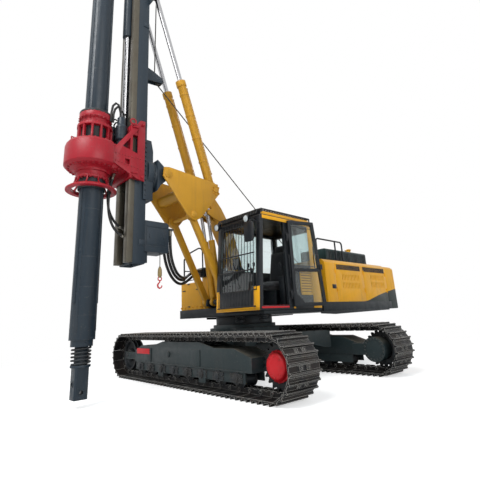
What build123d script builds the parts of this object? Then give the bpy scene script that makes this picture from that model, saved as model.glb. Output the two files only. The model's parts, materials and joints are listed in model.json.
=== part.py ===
from build123d import *
import os
from math import atan2, cos, degrees, hypot, pi, radians, sin, tan

os.makedirs("parts", exist_ok=True)

# A hydraulic pile drilling rig on an excavator-type crawler base, in millimetres.
# +X is the mast side of the upper machine, +Y its cab side, +Z is up, and the
# origin is on the ground under the slew centre.

# Clearances
run_gap = 8.0
pin_gap = 0.4
seat_gap = 0.3

# Undercarriage
park_slew = 92.0
track_centres = 4352.0
track_gauge = 2630.0
shoe_width = 600.0
axle_height = 440.0
shoe_radius = 402.0
grouser_height = 38.0
shoe_plate = 24.0
shoe_count = 52
link_radius = 300.0
link_thickness = 45.0
link_spacing = 96.0
sprocket_root = 262.0
sprocket_width = 60.0
sprocket_teeth = 21
idler_flange_radius = 330.0
idler_web = 30.0
wheel_hub_radius = 110.0
wheel_rim_half = 96.0
wheel_axle_half = 165.0
frame_width = 430.0
frame_top = 655.0
frame_bottom = 345.0
frame_wall = 22.0
hump_top = 735.0
rail_low = 195.0
rail_span = 3330.0
yoke_offset = 118.0
idler_pin_radius = 55.0
roller_radius = 92.0
roller_flange_radius = 112.0
roller_axle_radius = 38.0
carrier_radius = 40.0
carrier_flange_radius = 44.0
carrier_axle_radius = 24.0
guide_places = (-650.0, 650.0)
carrier_places = (-560.0, 520.0)
bottom_roller_count = 8
bottom_roller_span = 2950.0
drive_cover_radius = 205.0
drive_cover_depth = 100.0
drive_cover_rim = 26.0
drive_case_radius = 205.0
car_body_half_length = 640.0
car_body_half_width = 560.0
car_body_top = 905.0
car_body_depth = 330.0
car_body_corner = 240.0
leg_width = 300.0
leg_reach = 1250.0
leg_top = 775.0
leg_bottom = 455.0
arch_rise = 190.0
arch_reach = 1000.0
slew_radius = 560.0
slew_race = 70.0

# Deck of the upper machine
deck_bottom = 1124.0
deck_thickness = 170.0
deck_front = 640.0
deck_rear = 3500.0
deck_right = 1495.0
deck_left = 1454.0
deck_corner = 160.0

# Counterweight
weight_rear = 3935.0
weight_depth = 560.0
weight_top = 2120.0
weight_corner = 170.0
weight_edge = 60.0

# Engine housing, hood, tanks and boxes
housing_front = 880.0
housing_inner = 470.0
housing_top = 2135.0
housing_wall = 14.0
housing_chamfer = 70.0
right_housing_drop = 60.0
vent_width = 16.0
vent_spacing = 58.0
vent_height = 120.0
seam_width = 6.0
seam_depth = 5.0
door_seams = (-1232.0, -2334.0)
hood_front = 1380.0
hood_rear = 3060.0
hood_outer = 1180.0
hood_height = 300.0
hood_edge = 40.0
louvre_spacing = 62.0
louvre_width = 26.0
louvre_depth = 16.0
engine_length = 1350.0
engine_width = 640.0
engine_height = 640.0
toolbox_length = 760.0
toolbox_width = 760.0
toolbox_height = 565.0
tank_length = 760.0
tank_height = 760.0
exhaust_radius = 58.0
exhaust_height = 120.0
exhaust_x = -2900.0
exhaust_y = 820.0
rail_radius = 17.0
rail_bar_radius = 12.0

# Hydraulic cabinet beside the boom's foot, with the block that the mast's hoses end in
cabinet_front = 600.0
cabinet_length = 480.0
cabinet_right = 560.0
cabinet_left = 385.0
cabinet_top = 1930.0
block_front = 700.0
block_length = 260.0
block_height = 180.0

# Winch
winch_x = -2050.0
winch_z = 1900.0
drum_radius = 210.0
drum_flange_radius = 330.0
drum_width = 520.0
drum_flange = 24.0
winch_cheek = 30.0
winch_shaft = 55.0

# Cab
cab_front = 1020.0
cab_rear = -640.0
cab_left = 1454.0
cab_width = 1090.0
cab_floor = 1180.0
cab_height = 1610.0
cab_lean = 130.0
cab_wall = 55.0
cab_roof_rise = 70.0
cab_corner = 60.0
door_gusset = 170.0
door_hinge_x = 240.0
door_open_angle = 165.0
door_thickness = 42.0
door_frame = 62.0
door_gap = 30.0
door_stand_off = 28.0
glass_thickness = 6.0
window_edge = 90.0
front_window = (330.0, 130.0)
side_window = (760.0, 110.0)
rear_window = (800.0, 130.0)
door_rail_height = 640.0

# Stand of the linkage on the deck: its ears for the boom, and its plates for the links' shaft
ear_reach = 330.0
ear_thickness = 36.0
ear_head = 110.0
foot_reach = 340.0
outer_foot_plate = (196.0, 232.0)
inner_foot_plate = (4.0, 28.0)

# Front linkage: two links and a boom of equal length between the deck and the mast frame
link_foot_x = 700.0
link_foot_z = 1400.0
link_top_x = 1480.0
link_top_z = 2930.0
boom_tip_x = 940.0
boom_tip_z = 3505.0
link_offset = 300.0
link_bar_width = 70.0
link_bar_depth = 120.0
link_eye_radius = 95.0
link_pin_radius = 38.0
boom_half_width = 130.0
boom_pin_radius = 45.0
boom_eye_radius = 105.0
luff_offset = 100.0
luff_barrel_radius = 62.0
luff_rod_radius = 34.0
luff_barrel_length = 1180.0
luff_eye_along = 1378.0
luff_eye_ahead = 180.0
luff_pin_radius = 24.0
luff_pin_play = 28.0
luff_eye_width = 76.0
luff_eye_radius = 80.0
luff_eye_lug = 20.0
luff_foot_radius = 72.0
barrel_wall = 12.0
frame_tube_radius = 110.0

# Mast frame and mast cradle
plate_offset = 350.0
plate_thickness = 30.0
cradle_x = 2030.0
cradle_z = 3600.0
cradle_pin_radius = 45.0
cradle_half_width = 300.0
turntable_x = 2190.0
turntable_z = 3600.0
turntable_radius = 290.0
turntable_thickness = 34.0
turntable_step = 40.0
mount_bottom = 3080.0
mount_top = 4190.0
mount_half_width = 270.0
mount_cheek = 40.0
mount_cheek_reach = 70.0

# Mast
mast_rear = 2372.0
mast_depth = 213.0
mast_half_width = 230.0
mast_wall = 14.0
mast_bottom = 1990.0
rail_depth = 105.0
rail_width = 114.0
rail_bottom = 2010.0
rail_top = 11500.0
tilt_offset = 250.0
tilt_barrel_radius = 85.0
tilt_collar_radius = 101.0
tilt_rod_radius = 48.0
tilt_barrel_length = 2320.0
tilt_eye_x = 2252.0
tilt_eye_z = 7480.0
tilt_pin_radius = 38.0
tilt_eye_radius = 80.0
tilt_pin_play = 12.0
tilt_lug = 24.0
tilt_lug_gap = 16.0
tilt_eye_half = 40.0
yoke_radius = 70.0
yoke_half_width = 35.0
trunnion_radius = 26.0
trunnion_play = 18.0
trunnion_reach = 118.0
fork_inner = 82.0
fork_cheek = 28.0
fork_half_width = 62.0
fork_bridge = 165.0
fork_bridge_depth = 60.0

# Service box behind the mast's foot
service_box_rear = 1900.0
service_box_bottom = 2210.0
service_box_top = 2740.0
service_box_right = 150.0
service_box_left = 200.0

# Rope sheave behind the mast
rope_sheave_x = 2021.0
rope_sheave_z = 5700.0
rope_sheave_radius = 92.0
rope_pin_radius = 22.0
rope_bracket_inner = 50.0
rope_bracket_plate = 16.0
rope_radius = 11.0
groove_depth = 24.0

# Mast head with its sheaves
sheave_radius = 260.0
sheave_width = 60.0
sheave_pin_radius = 40.0
sheave_rear_x = 2300.0
sheave_z = 12700.0
sheave_rise = 330.0
sheave_hub_half = 200.0
head_cheek = 24.0
head_reach = 120.0
head_tail = 130.0
head_skirt = 500.0

# Rotary head on the mast's front rails
kelly_x = 3208.0
head_bottom = 3125.0
head_plate_offset = 315.0
head_plate_thickness = 30.0
bracket_rear = 2470.0
bracket_nose = 3030.0
bracket_top = 4480.0
bracket_bottom = 3360.0
bracket_back = 40.0
case_bottom = 3490.0
case_top = 3910.0
case_radius = 436.0
case_bevel = 40.0
case_step = 75.0
case_eye_angles = (-62.0, 8.0, 62.0)
case_half_width = 295.0
collar_bottom = 3346.0
head_collar_radius = 241.0
cage_radius = 279.0
cage_top = 4245.0
cage_ring = 45.0
cage_ribs = 12
neck_wall = 13.0
flange_radius = 256.0
flange_top = 4450.0
head_bore = 208.0
sleeve_bottom = 3140.0
sleeve_rim = 40.0
flange_height = 110.0
bell_ring_radius = 384.0
bell_ring_inner = 300.0
bell_collar = 36.0
bell_rim = 22.0
bell_ring_height = 58.0
bell_ribs = 10
bell_rib_half = 9.0
bell_arc_x = 440.0
bell_arc_z = 205.0
bell_arc_radius = 185.0
shoe_clearance = 6.0
motor_radius = 92.0
motor_height = 560.0
motor_x = 2842.0
motor_offset = 200.0

# Feed cylinder on the mast's front
feed_x = 2700.0
feed_barrel_radius = 92.0
feed_bore_radius = 72.0
feed_rod_radius = 52.0
feed_gland_z = 6350.0
feed_barrel_top = 9650.0
feed_rod_bottom = 4420.0
feed_rod_top = 7980.0
feed_pin_radius = 28.0
feed_eye_radius = 70.0

# Kelly bar
kelly_radius = 177.5
kelly_tip = 112.0
stub_side = 190.0
stub_top = 524.0
seat_ring_height = 32.0
spring_top = 800.0
spring_wire = 14.0
spring_radius = 122.0
spring_coils = 4.5
core_radius = 90.0
collar_radius = 150.0
tube_bottom = 888.0
tube_top = 9350.0
tube_wall = 24.0
tube_cap = 60.0
key_end = 500.0
key_width = 46.0
key_depth = 14.0
tool_pin_radius = 28.0
low_pin_height = 205.0
high_pin_height = 312.0

# Free hoses, and the points that each one's middle line goes through
mast_hose_radius = 26.0
head_hose_radius = 16.0
hose_nut = 10.0
mast_hoses = ("mast_hose_near", "mast_hose_middle", "mast_hose_far")
hose_routes = {
    "mast_hose_near": [(1840, 150, 2620), (1840, 150, 2380), (1790, 110, 2150), (1660, 20, 1970),
                       (1470, -120, 1870), (1250, -280, 1860), (1060, -430, 1930), (890, -440, 2035),
                       (720, -440, 2060)],
    "mast_hose_middle": [(1835, 45, 2620), (1835, 40, 2370), (1775, 0, 2120), (1630, -90, 1925),
                         (1430, -220, 1830), (1215, -370, 1830), (1045, -510, 1910), (880, -525, 2030),
                         (720, -525, 2060)],
    "mast_hose_far": [(1840, -60, 2620), (1840, -70, 2350), (1765, -110, 2075), (1600, -190, 1860),
                      (1385, -300, 1755), (1170, -420, 1770), (1010, -478, 1860), (870, -482, 1965),
                      (720, -482, 1980)],
    "head_hose": [(2890, 30, 3455), (2918, 30, 3300), (2938, 30, 3140), (2942, 29, 2975),
                  (2922, 28, 2815), (2878, 26, 2670), (2805, 25, 2550), (2712, 25, 2475),
                  (2610, 25, 2430)],
}

# Values worked out from the sizes above
deck_top = deck_bottom + deck_thickness
link_dx = link_top_x - link_foot_x
link_dz = link_top_z - link_foot_z
link_length = hypot(link_dx, link_dz)
link_lean = degrees(atan2(link_dx, link_dz))
boom_foot_x = boom_tip_x - link_dx
boom_foot_z = boom_tip_z - link_dz
luff_eye_x = boom_foot_x + (luff_eye_along * link_dx + luff_eye_ahead * link_dz) / link_length
luff_eye_z = boom_foot_z + (luff_eye_along * link_dz - luff_eye_ahead * link_dx) / link_length
cab_right = cab_left - cab_width
cab_top = cab_floor + cab_height
mast_front = mast_rear + mast_depth
mast_top = sheave_z - sheave_rise
rope_pitch_radius = sheave_radius - groove_depth + rope_radius
sheave_front_x = kelly_x - rope_pitch_radius
head_back = mast_front + rail_depth + shoe_clearance
rail_front = mast_front + rail_depth
rail_inner = mast_half_width - rail_width
sleeve_bore = hypot(kelly_radius + key_depth, key_width / 2) + 2 * pin_gap
track_side = track_gauge / 2
sprocket_x = -track_centres / 2
idler_x = track_centres / 2
idler_radius = link_radius - seat_gap
arch_radius = (arch_reach ** 2 + arch_rise ** 2) / (2 * arch_rise)


def bar(x0, x1, y0, y1, z0, z1):
    centre = ((x0 + x1) / 2, (y0 + y1) / 2, (z0 + z1) / 2)
    return Pos(*centre) * Box(abs(x1 - x0), abs(y1 - y0), abs(z1 - z0))


def rod_y(x, z, y0, y1, radius):
    return Pos(x, (y0 + y1) / 2, z) * Rot(90, 0, 0) * Cylinder(radius, abs(y1 - y0))


def rod_x(y, z, x0, x1, radius):
    return Pos((x0 + x1) / 2, y, z) * Rot(0, 90, 0) * Cylinder(radius, abs(x1 - x0))


def rod_z(x, y, z0, z1, radius):
    return Pos(x, y, (z0 + z1) / 2) * Cylinder(radius, abs(z1 - z0))


def side_plate(points, y0, y1):
    face = Polygon(*[(x, z) for x, z in points], align=None)
    plane = Plane(origin=(0, y1, 0), x_dir=(1, 0, 0), z_dir=(0, -1, 0))
    return extrude(plane * face, y1 - y0, dir=(0, -1, 0))


def turned(rows):
    # A solid turned about Z: each row gives a radius and a height, and the axis closes it
    return revolve(Plane.XZ * Polygon(*[(row["radius"], row["height"]) for row in rows], align=None), Axis.Z)


def wheel(rows, x, y, z):
    # A wheel on an axle along Y, the same on both sides: radii and distances from its middle
    half = [(row["radius"], row["out"]) for row in rows]
    other = [(radius, -out) for radius, out in reversed(half)]
    return Pos(x, y, z) * Rot(90, 0, 0) * revolve(Plane.XZ * Polygon(*half, *other, align=None), Axis.Z)


def joined(pieces):
    whole = pieces[0]
    for piece in pieces[1:]:
        whole += piece
    return whole


def flat_plate(points, z0, z1):
    return extrude(Pos(0, 0, z0) * Polygon(*points, align=None), z1 - z0, dir=(0, 0, 1))


def mirrored(part):
    return part + mirror(part, Plane.XZ)


def leaned(part, x, z, angle):
    return Pos(x, 0, z) * Rot(0, angle, 0) * part


def save(part, name):
    export_step(part, "parts/" + name + ".step")
    print(name, len(part.solids()))


def undercarriage(part):
    return Rot(0, 0, -park_slew) * part


# Undercarriage: the idlers point along +X before it is turned to its parked heading
def track_slot(radius):
    return Pos(0, axle_height) * SlotCenterToCenter(track_centres, 2 * radius)


def side_profile(sketch, y0, y1):
    plane = Plane(origin=(0, y1, 0), x_dir=(1, 0, 0), z_dir=(0, -1, 0))
    return extrude(plane * sketch, y1 - y0, dir=(0, -1, 0))


def shoe_outline():
    # Each shoe: where a point lies along its pitch, and how far out of the plate
    shoe_steps = [
        {"along": 0.00, "out": -0.45},
        {"along": 0.07, "out": 0.00},
        {"along": 0.16, "out": 1.00},
        {"along": 0.26, "out": 0.10},
        {"along": 0.46, "out": 0.85},
        {"along": 0.56, "out": 0.10},
        {"along": 0.78, "out": 0.85},
        {"along": 0.90, "out": 0.00},
    ]
    lap = 2 * track_centres + 2 * pi * shoe_radius
    pitch = lap / shoe_count
    points = []
    for shoe in range(shoe_count):
        for step in shoe_steps:
            radius = shoe_radius + step["out"] * grouser_height
            along = (shoe + step["along"]) * pitch
            points.append(track_offset(along, radius))
    return Polygon(*points, align=None)


def track_offset(along, radius):
    # A point at a distance along the shoe line, moved out to the given radius
    half = track_centres / 2
    bend = pi * shoe_radius
    d = along
    if d < track_centres:
        return (-half + d, axle_height + radius)
    d -= track_centres
    if d < bend:
        turn = d / shoe_radius
        return (half + radius * sin(turn), axle_height + radius * cos(turn))
    d -= bend
    if d < track_centres:
        return (half - d, axle_height - radius)
    turn = (d - track_centres) / shoe_radius
    return (-half - radius * sin(turn), axle_height - radius * cos(turn))


def track(side):
    shoes = shoe_outline() - track_slot(shoe_radius - shoe_plate)
    links = track_slot(shoe_radius - shoe_plate + 1) - track_slot(link_radius)
    middle = side * track_side
    part = side_profile(shoes, middle - shoe_width / 2, middle + shoe_width / 2)
    for hand in (-1, 1):
        inner = middle + hand * link_spacing / 2
        outer = inner + hand * link_thickness
        part += side_profile(links, min(inner, outer), max(inner, outer))
    return part


def track_frame(side):
    # Side view of the box beam: along x, and its top's height
    half = track_centres / 2
    middle = side * track_side
    reach = frame_width / 2
    beam_top = [
        {"x": -half + 340, "z": 540.0},
        {"x": -half + 700, "z": frame_top},
        {"x": half - 800, "z": frame_top},
        {"x": half - 520, "z": 560.0},
    ]
    ends = [(half - 520, frame_bottom), (-half + 340, frame_bottom)]
    beam = side_plate([(row["x"], row["z"]) for row in beam_top] + ends, middle - reach, middle + reach)
    # Outer side plates stand above the beam in the middle of the frame
    hump = [(-1000, frame_top - 1), (-620, hump_top), (560, hump_top), (940, frame_top - 1)]
    rail_inner_face = wheel_axle_half + pin_gap
    for hand in (-1, 1):
        edge = middle + hand * reach
        beam += side_plate(hump, min(edge, edge - hand * frame_wall), max(edge, edge - hand * frame_wall))
        low = middle + hand * rail_inner_face
        high = middle + hand * (rail_inner_face + frame_wall)
        beam += bar(-rail_span / 2, rail_span / 2, low, high, rail_low, frame_bottom + 1)
        for x in guide_places:
            beam += bar(x - 90, x + 90, high - hand, high + hand * 14, rail_low - 60, frame_bottom - 20)
        yoke = middle + hand * yoke_offset
        beam += bar(half - 540, half + 75, yoke, yoke + hand * 40, axle_height - 70, axle_height + 70)
    drive = middle - side * 290
    seat = middle - side * 215
    beam += bar(-half, -half + 420, drive, seat, frame_bottom, 540)
    beam += bar(-half + 340, -half + 420, drive, middle, frame_bottom, 540)
    case_end = middle - side * (sprocket_width / 2 + seat_gap)
    beam += rod_y(-half, axle_height, drive, case_end, drive_case_radius)
    beam -= rod_y(half, axle_height, middle - 200, middle + 200, idler_pin_radius + pin_gap)
    return beam


def track_frames():
    return track_frame(1) + track_frame(-1)


def idlers():
    idler_rows = [
        {"radius": 0.0, "out": wheel_axle_half},
        {"radius": idler_pin_radius, "out": wheel_axle_half},
        {"radius": idler_pin_radius, "out": 112.0},
        {"radius": wheel_hub_radius, "out": 112.0},
        {"radius": wheel_hub_radius + 20, "out": idler_web},
        {"radius": idler_radius - 55, "out": idler_web},
        {"radius": idler_radius - 38, "out": wheel_rim_half},
        {"radius": idler_radius, "out": wheel_rim_half},
        {"radius": idler_radius, "out": 44.0},
        {"radius": idler_flange_radius, "out": 38.0},
    ]
    return joined([wheel(idler_rows, idler_x, side * track_side, axle_height) for side in (1, -1)])


def sprockets():
    # Corners of a tooth: how far along its pitch, and their radius
    tooth_corners = [
        {"share": 0.0, "radius": sprocket_root},
        {"share": 0.3, "radius": link_radius + 12},
        {"share": 0.5, "radius": link_radius + 12},
        {"share": 0.8, "radius": sprocket_root},
    ]
    points = []
    for tooth in range(sprocket_teeth):
        for corner in tooth_corners:
            turn = 2 * pi * (tooth + corner["share"]) / sprocket_teeth
            radius = corner["radius"]
            points.append((sprocket_x + radius * cos(turn), axle_height + radius * sin(turn)))
    discs = []
    for side in (1, -1):
        middle = side * track_side
        discs.append(side_plate(points, middle - sprocket_width / 2, middle + sprocket_width / 2))
    return joined(discs)


def drive_covers():
    cover_rows = [
        {"radius": 0.0, "height": 0.0},
        {"radius": drive_cover_radius, "height": 0.0},
        {"radius": drive_cover_radius, "height": drive_cover_rim},
        {"radius": drive_cover_radius - 24, "height": drive_cover_rim + 4},
        {"radius": drive_cover_radius - 34, "height": drive_cover_depth - 26},
        {"radius": drive_cover_radius - 62, "height": drive_cover_depth - 6},
        {"radius": 62.0, "height": drive_cover_depth},
        {"radius": 0.0, "height": drive_cover_depth},
    ]
    covers = []
    for side in (1, -1):
        seat = side * (track_side + sprocket_width / 2 + seat_gap)
        covers.append(Pos(sprocket_x, seat, axle_height) * Rot(-90 * side, 0, 0) * turned(cover_rows))
    return joined(covers)


def rollers():
    bottom_rows = [
        {"radius": 0.0, "out": wheel_axle_half},
        {"radius": roller_axle_radius, "out": wheel_axle_half},
        {"radius": roller_axle_radius, "out": 126.0},
        {"radius": roller_flange_radius, "out": 120.0},
        {"radius": roller_flange_radius, "out": 102.0},
        {"radius": roller_radius, "out": 98.0},
    ]
    carrier_rows = [
        {"radius": 0.0, "out": reach_to_hump()},
        {"radius": carrier_axle_radius, "out": reach_to_hump()},
        {"radius": carrier_axle_radius, "out": 114.0},
        {"radius": carrier_flange_radius, "out": 110.0},
        {"radius": carrier_flange_radius, "out": 100.0},
        {"radius": carrier_radius, "out": 97.0},
    ]
    bottom_z = axle_height - link_radius + roller_radius + seat_gap
    carrier_z = axle_height + link_radius - carrier_radius - seat_gap
    wheels = []
    for side in (1, -1):
        for index in range(bottom_roller_count):
            x = bottom_roller_span * (index / (bottom_roller_count - 1) - 0.5)
            wheels.append(wheel(bottom_rows, x, side * track_side, bottom_z))
        for x in carrier_places:
            wheels.append(wheel(carrier_rows, x, side * track_side, carrier_z))
    return joined(wheels)


def reach_to_hump():
    return frame_width / 2 - frame_wall - pin_gap


def car_body():
    # A hub with four legs over an arched underside, so that the whole reads as an X from above
    body = bar(-car_body_half_length, car_body_half_length, -car_body_half_width, car_body_half_width,
               car_body_top - car_body_depth, car_body_top)
    body = chamfer(body.edges().filter_by(Axis.Z), car_body_corner)
    reach = track_side - frame_width / 2 - seat_gap
    for x_sign in (-1, 1):
        for y_sign in (-1, 1):
            leg = [(x_sign * 250, y_sign * 350), (x_sign * 590, y_sign * 200),
                   (x_sign * leg_reach, y_sign * reach), (x_sign * (leg_reach - leg_width), y_sign * reach)]
            body += flat_plate(leg, leg_bottom, leg_top)
    body += rod_z(0, 0, car_body_top - 60, car_body_top + 60, slew_radius + 60)
    arch_z = leg_bottom + arch_rise - arch_radius
    return body - rod_x(0, arch_z, -track_centres / 2, track_centres / 2, arch_radius)


def slew_ring():
    low = car_body_top + 60
    ring = rod_z(0, 0, low + seat_gap, deck_bottom - seat_gap, slew_radius)
    ring -= rod_z(0, 0, low - 1, deck_bottom, slew_radius - slew_race)
    return ring


def deck_outline():
    rear = -deck_rear
    return [
        (deck_front, -deck_right + deck_corner),
        (deck_front - deck_corner, -deck_right),
        (rear, -deck_right),
        (rear, deck_left),
        (cab_rear - 60, deck_left),
        (cab_rear - 60, cab_right - 40),
        (deck_front, cab_right - 40),
    ]


def deck():
    plate = flat_plate(deck_outline(), deck_bottom, deck_top)
    cab_bed = bar(cab_rear - 60, cab_front - 130, cab_right - 40, cab_left - 40, deck_bottom,
                  cab_floor - seat_gap)
    part = plate + cab_bed
    part += rod_z(0, 0, deck_bottom - run_gap + seat_gap, deck_bottom + 1, slew_radius - slew_race - 20)
    return part


def linkage_stand():
    # Ears for the boom's foot, the shaft of the links and luffing cylinders, and the hoses' block
    low = deck_top + seat_gap
    ear_inner = boom_half_width + run_gap
    ear = side_plate([(-ear_reach, low), (ear_reach, low), (boom_foot_x + ear_head, boom_foot_z),
                      (boom_foot_x, boom_foot_z + ear_head), (boom_foot_x - ear_head, boom_foot_z)],
                     ear_inner, ear_inner + ear_thickness)
    ear -= rod_y(boom_foot_x, boom_foot_z, 0, 2 * ear_inner, boom_pin_radius)
    foot = side_plate([(link_foot_x - foot_reach, low), (link_foot_x - 66, low),
                       (link_foot_x + 90, link_foot_z - 60), (link_foot_x + 60, link_foot_z + 60),
                       (link_foot_x - 60, link_foot_z + 60)], *outer_foot_plate)
    foot += side_plate([(link_foot_x - foot_reach, low), (link_foot_x - 66, low),
                        (link_foot_x + 60, link_foot_z - 30), (link_foot_x + 40, link_foot_z + 40),
                        (link_foot_x - 60, link_foot_z + 60)], *inner_foot_plate)
    reach = link_offset + link_bar_width / 2
    shaft = rod_y(link_foot_x, link_foot_z, -reach, reach, link_pin_radius)
    pin = rod_y(boom_foot_x, boom_foot_z, -ear_inner - ear_thickness, ear_inner + ear_thickness,
                boom_pin_radius)
    return mirrored(ear) + mirrored(foot) + shaft + pin + hose_block()


def hose_block():
    # The valve block on the cabinet, with a gland for each hose that comes from the mast
    block = bar(block_front - block_length, block_front, -cabinet_right - 40, -cabinet_left + 10,
                cabinet_top + seat_gap, cabinet_top + seat_gap + block_height)
    for name in mast_hoses:
        block += gland(name, -1, mast_hose_radius, hose_routes[name][-1][0] - block_front + 3)
    return block


def counterweight():
    # A cast block with round corners and a chamfered top, hooked over the deck's rear end
    rear = -weight_rear
    front = rear + weight_depth
    block = bar(rear, front, -deck_right, deck_left, deck_bottom, weight_top)
    block = fillet(block.edges().filter_by(Axis.Z).sort_by(Axis.X)[:2], weight_corner)
    rim = block.faces().sort_by(Axis.Z)[-1].edges().sort_by(Axis.X)[:-1]
    block = chamfer(rim, weight_edge)
    return block - bar(-deck_rear - seat_gap, front + 1, -deck_right - 1, deck_left + 1, deck_bottom - 1,
                       deck_top + seat_gap)


def engine_housing():
    front = -housing_front
    rear = -weight_rear + weight_depth + seat_gap
    low = deck_top + seat_gap
    shell = bar(rear, front, housing_inner, cab_left, low, housing_top)
    shell = chamfer(shell.edges().filter_by(Axis.X).sort_by(lambda e: e.center().Z + e.center().Y)[-1:],
                    housing_chamfer)
    inside = bar(rear + housing_wall, front - housing_wall, housing_inner + housing_wall,
                 cab_left - housing_wall - housing_chamfer, low - 1, housing_top - housing_wall)
    inside += bar(rear + housing_wall, front - housing_wall, housing_inner + housing_wall,
                  cab_left - housing_wall, low - 1, housing_top - housing_wall - housing_chamfer)
    for x in door_seams:
        inside += bar(x - seam_width / 2, x + seam_width / 2, cab_left - seam_depth, cab_left + 1, low - 1,
                      housing_top - housing_chamfer)
    return shell - inside - housing_vents()


def housing_vents():
    # Rows of upright slots in the two side doors: where each row starts, its foot and its slots
    vent_rows = [
        {"x": -2120.0, "z": 1725.0, "slots": 12},
        {"x": -2120.0, "z": 1560.0, "slots": 12},
        {"x": -3240.0, "z": 1760.0, "slots": 11},
        {"x": -3240.0, "z": 1600.0, "slots": 11},
    ]
    slots = []
    for row in vent_rows:
        for index in range(row["slots"]):
            x = row["x"] + index * vent_spacing
            slots.append(bar(x, x + vent_width, cab_left - housing_wall - 1, cab_left + 1, row["z"],
                             row["z"] + vent_height))
    return joined(slots)


def right_housing():
    front = -housing_front
    rear = -weight_rear + weight_depth + seat_gap
    low = deck_top + seat_gap
    top = housing_top - right_housing_drop
    shell = bar(rear, front, -deck_right, -housing_inner, low, top)
    shell = chamfer(shell.edges().filter_by(Axis.X).sort_by(lambda e: e.center().Z - e.center().Y)[-1:],
                    housing_chamfer)
    inside = bar(rear + housing_wall, front - housing_wall, -deck_right + housing_wall + housing_chamfer,
                 -housing_inner - housing_wall, low - 1, top - housing_wall)
    inside += bar(rear + housing_wall, front - housing_wall, -deck_right + housing_wall,
                  -housing_inner - housing_wall, low - 1, top - housing_wall - housing_chamfer)
    return shell - inside


def engine_hood():
    low = housing_top + seat_gap
    hood = bar(-hood_rear, -hood_front, housing_inner + 40, hood_outer, low, low + hood_height)
    hood = fillet(hood.edges().filter_by(Axis.X).sort_by(Axis.Z)[-2:], hood_edge)
    louvres = []
    count = int((hood_rear - hood_front - 2 * hood_edge) / louvre_spacing)
    for index in range(count):
        x = -hood_rear + hood_edge + 10 + index * louvre_spacing
        louvres.append(bar(x, x + louvre_width, hood_outer - louvre_depth, hood_outer + 1, low + 50,
                           low + hood_height - hood_edge - 20))
    return hood - joined(louvres)


def engine_block():
    x = -(housing_front + weight_rear - weight_depth) / 2
    y = (housing_inner + cab_left) / 2 - 30
    low = deck_top + seat_gap
    return bar(x - engine_length / 2, x + engine_length / 2, y - engine_width / 2, y + engine_width / 2,
               low, low + engine_height)


def tool_box():
    # The box on the right front corner, and the hydraulic cabinet that stands beside the boom's foot
    front = deck_front - 20
    outer = -deck_right + deck_corner
    low = deck_top + seat_gap
    box = bar(front - toolbox_length, front, outer, outer + toolbox_width, low, low + toolbox_height)
    box = fillet(box.edges().filter_by(Axis.Z).sort_by(Axis.X)[-2:], 45)
    box = fillet(box.faces().sort_by(Axis.Z)[-1].edges(), 30)
    cabinet = bar(cabinet_front - cabinet_length, cabinet_front, -cabinet_right, -cabinet_left, low,
                  cabinet_top)
    cabinet = fillet(cabinet.faces().sort_by(Axis.Z)[-1].edges(), 12)
    return box + cabinet


def fuel_tank():
    front = deck_front - 20 - toolbox_length - 20
    low = deck_top + seat_gap
    box = bar(front - tank_length + 60, front, -deck_right + 10, -deck_right + 900, low, low + tank_height)
    return fillet(box.edges().filter_by(Axis.X), 60)


def exhaust():
    low = housing_top + hood_height + 2 * seat_gap
    pipe = rod_z(exhaust_x, exhaust_y, low, low + exhaust_height, exhaust_radius)
    return pipe - rod_z(exhaust_x, exhaust_y, low + 30, low + exhaust_height + 1, exhaust_radius - 6)


def bent_rail(corners, y):
    # A tube bent to corners given as x and z, in the plane of one side
    path = FilletPolyline(*[(x, y, z) for x, z in corners], radius=4 * rail_radius)
    return sweep(Plane(origin=path @ 0, z_dir=path % 0) * Circle(rail_radius), path=path)


def handrails():
    # One hoop on the tool box, and one behind the cab on the engine's side
    box_top = deck_top + toolbox_height + 2 * seat_gap
    hoop = [(560, box_top), (560, 2406), (384, 2582), (153, 2708), (40, 2708), (40, box_top)]
    hoop_y = -deck_right + deck_corner + 60
    middle = box_top + 290
    part = bent_rail(hoop, hoop_y) + rod_x(hoop_y, middle, 40, 560, rail_bar_radius)
    side_top = housing_top + seat_gap
    side_rail = [(-1000, side_top), (-1000, 2600), (-1960, 2600), (-1960, side_top)]
    side_y = hood_outer + 45
    return part + bent_rail(side_rail, side_y) + rod_z(-1690, side_y, side_top, 2600, rail_radius)


def winch_frame():
    half = drum_width / 2 + drum_flange + run_gap
    cheek = side_plate([(winch_x - 330, deck_top + seat_gap), (winch_x + 330, deck_top + seat_gap),
                        (winch_x + 120, winch_z + 110), (winch_x - 120, winch_z + 110)],
                       half, half + winch_cheek)
    shaft = rod_y(winch_x, winch_z, -half - winch_cheek, half + winch_cheek, winch_shaft)
    base = bar(winch_x - 330, winch_x + 330, -half - winch_cheek, half + winch_cheek,
               deck_top + seat_gap, deck_top + 40)
    return mirrored(cheek) + shaft + base


def winch_drum():
    half = drum_width / 2
    drum = rod_y(winch_x, winch_z, -half, half, drum_radius)
    drum += rod_y(winch_x, winch_z, half, half + drum_flange, drum_flange_radius)
    drum += rod_y(winch_x, winch_z, -half - drum_flange, -half, drum_flange_radius)
    return drum - rod_y(winch_x, winch_z, -half - 100, half + 100, winch_shaft + pin_gap)


def cab_profile(inset):
    return [
        (cab_rear + inset, cab_floor + inset),
        (cab_front - inset, cab_floor + inset),
        (cab_front - cab_lean - inset, cab_top - inset),
        (cab_rear + inset, cab_top - inset),
    ]


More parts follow.
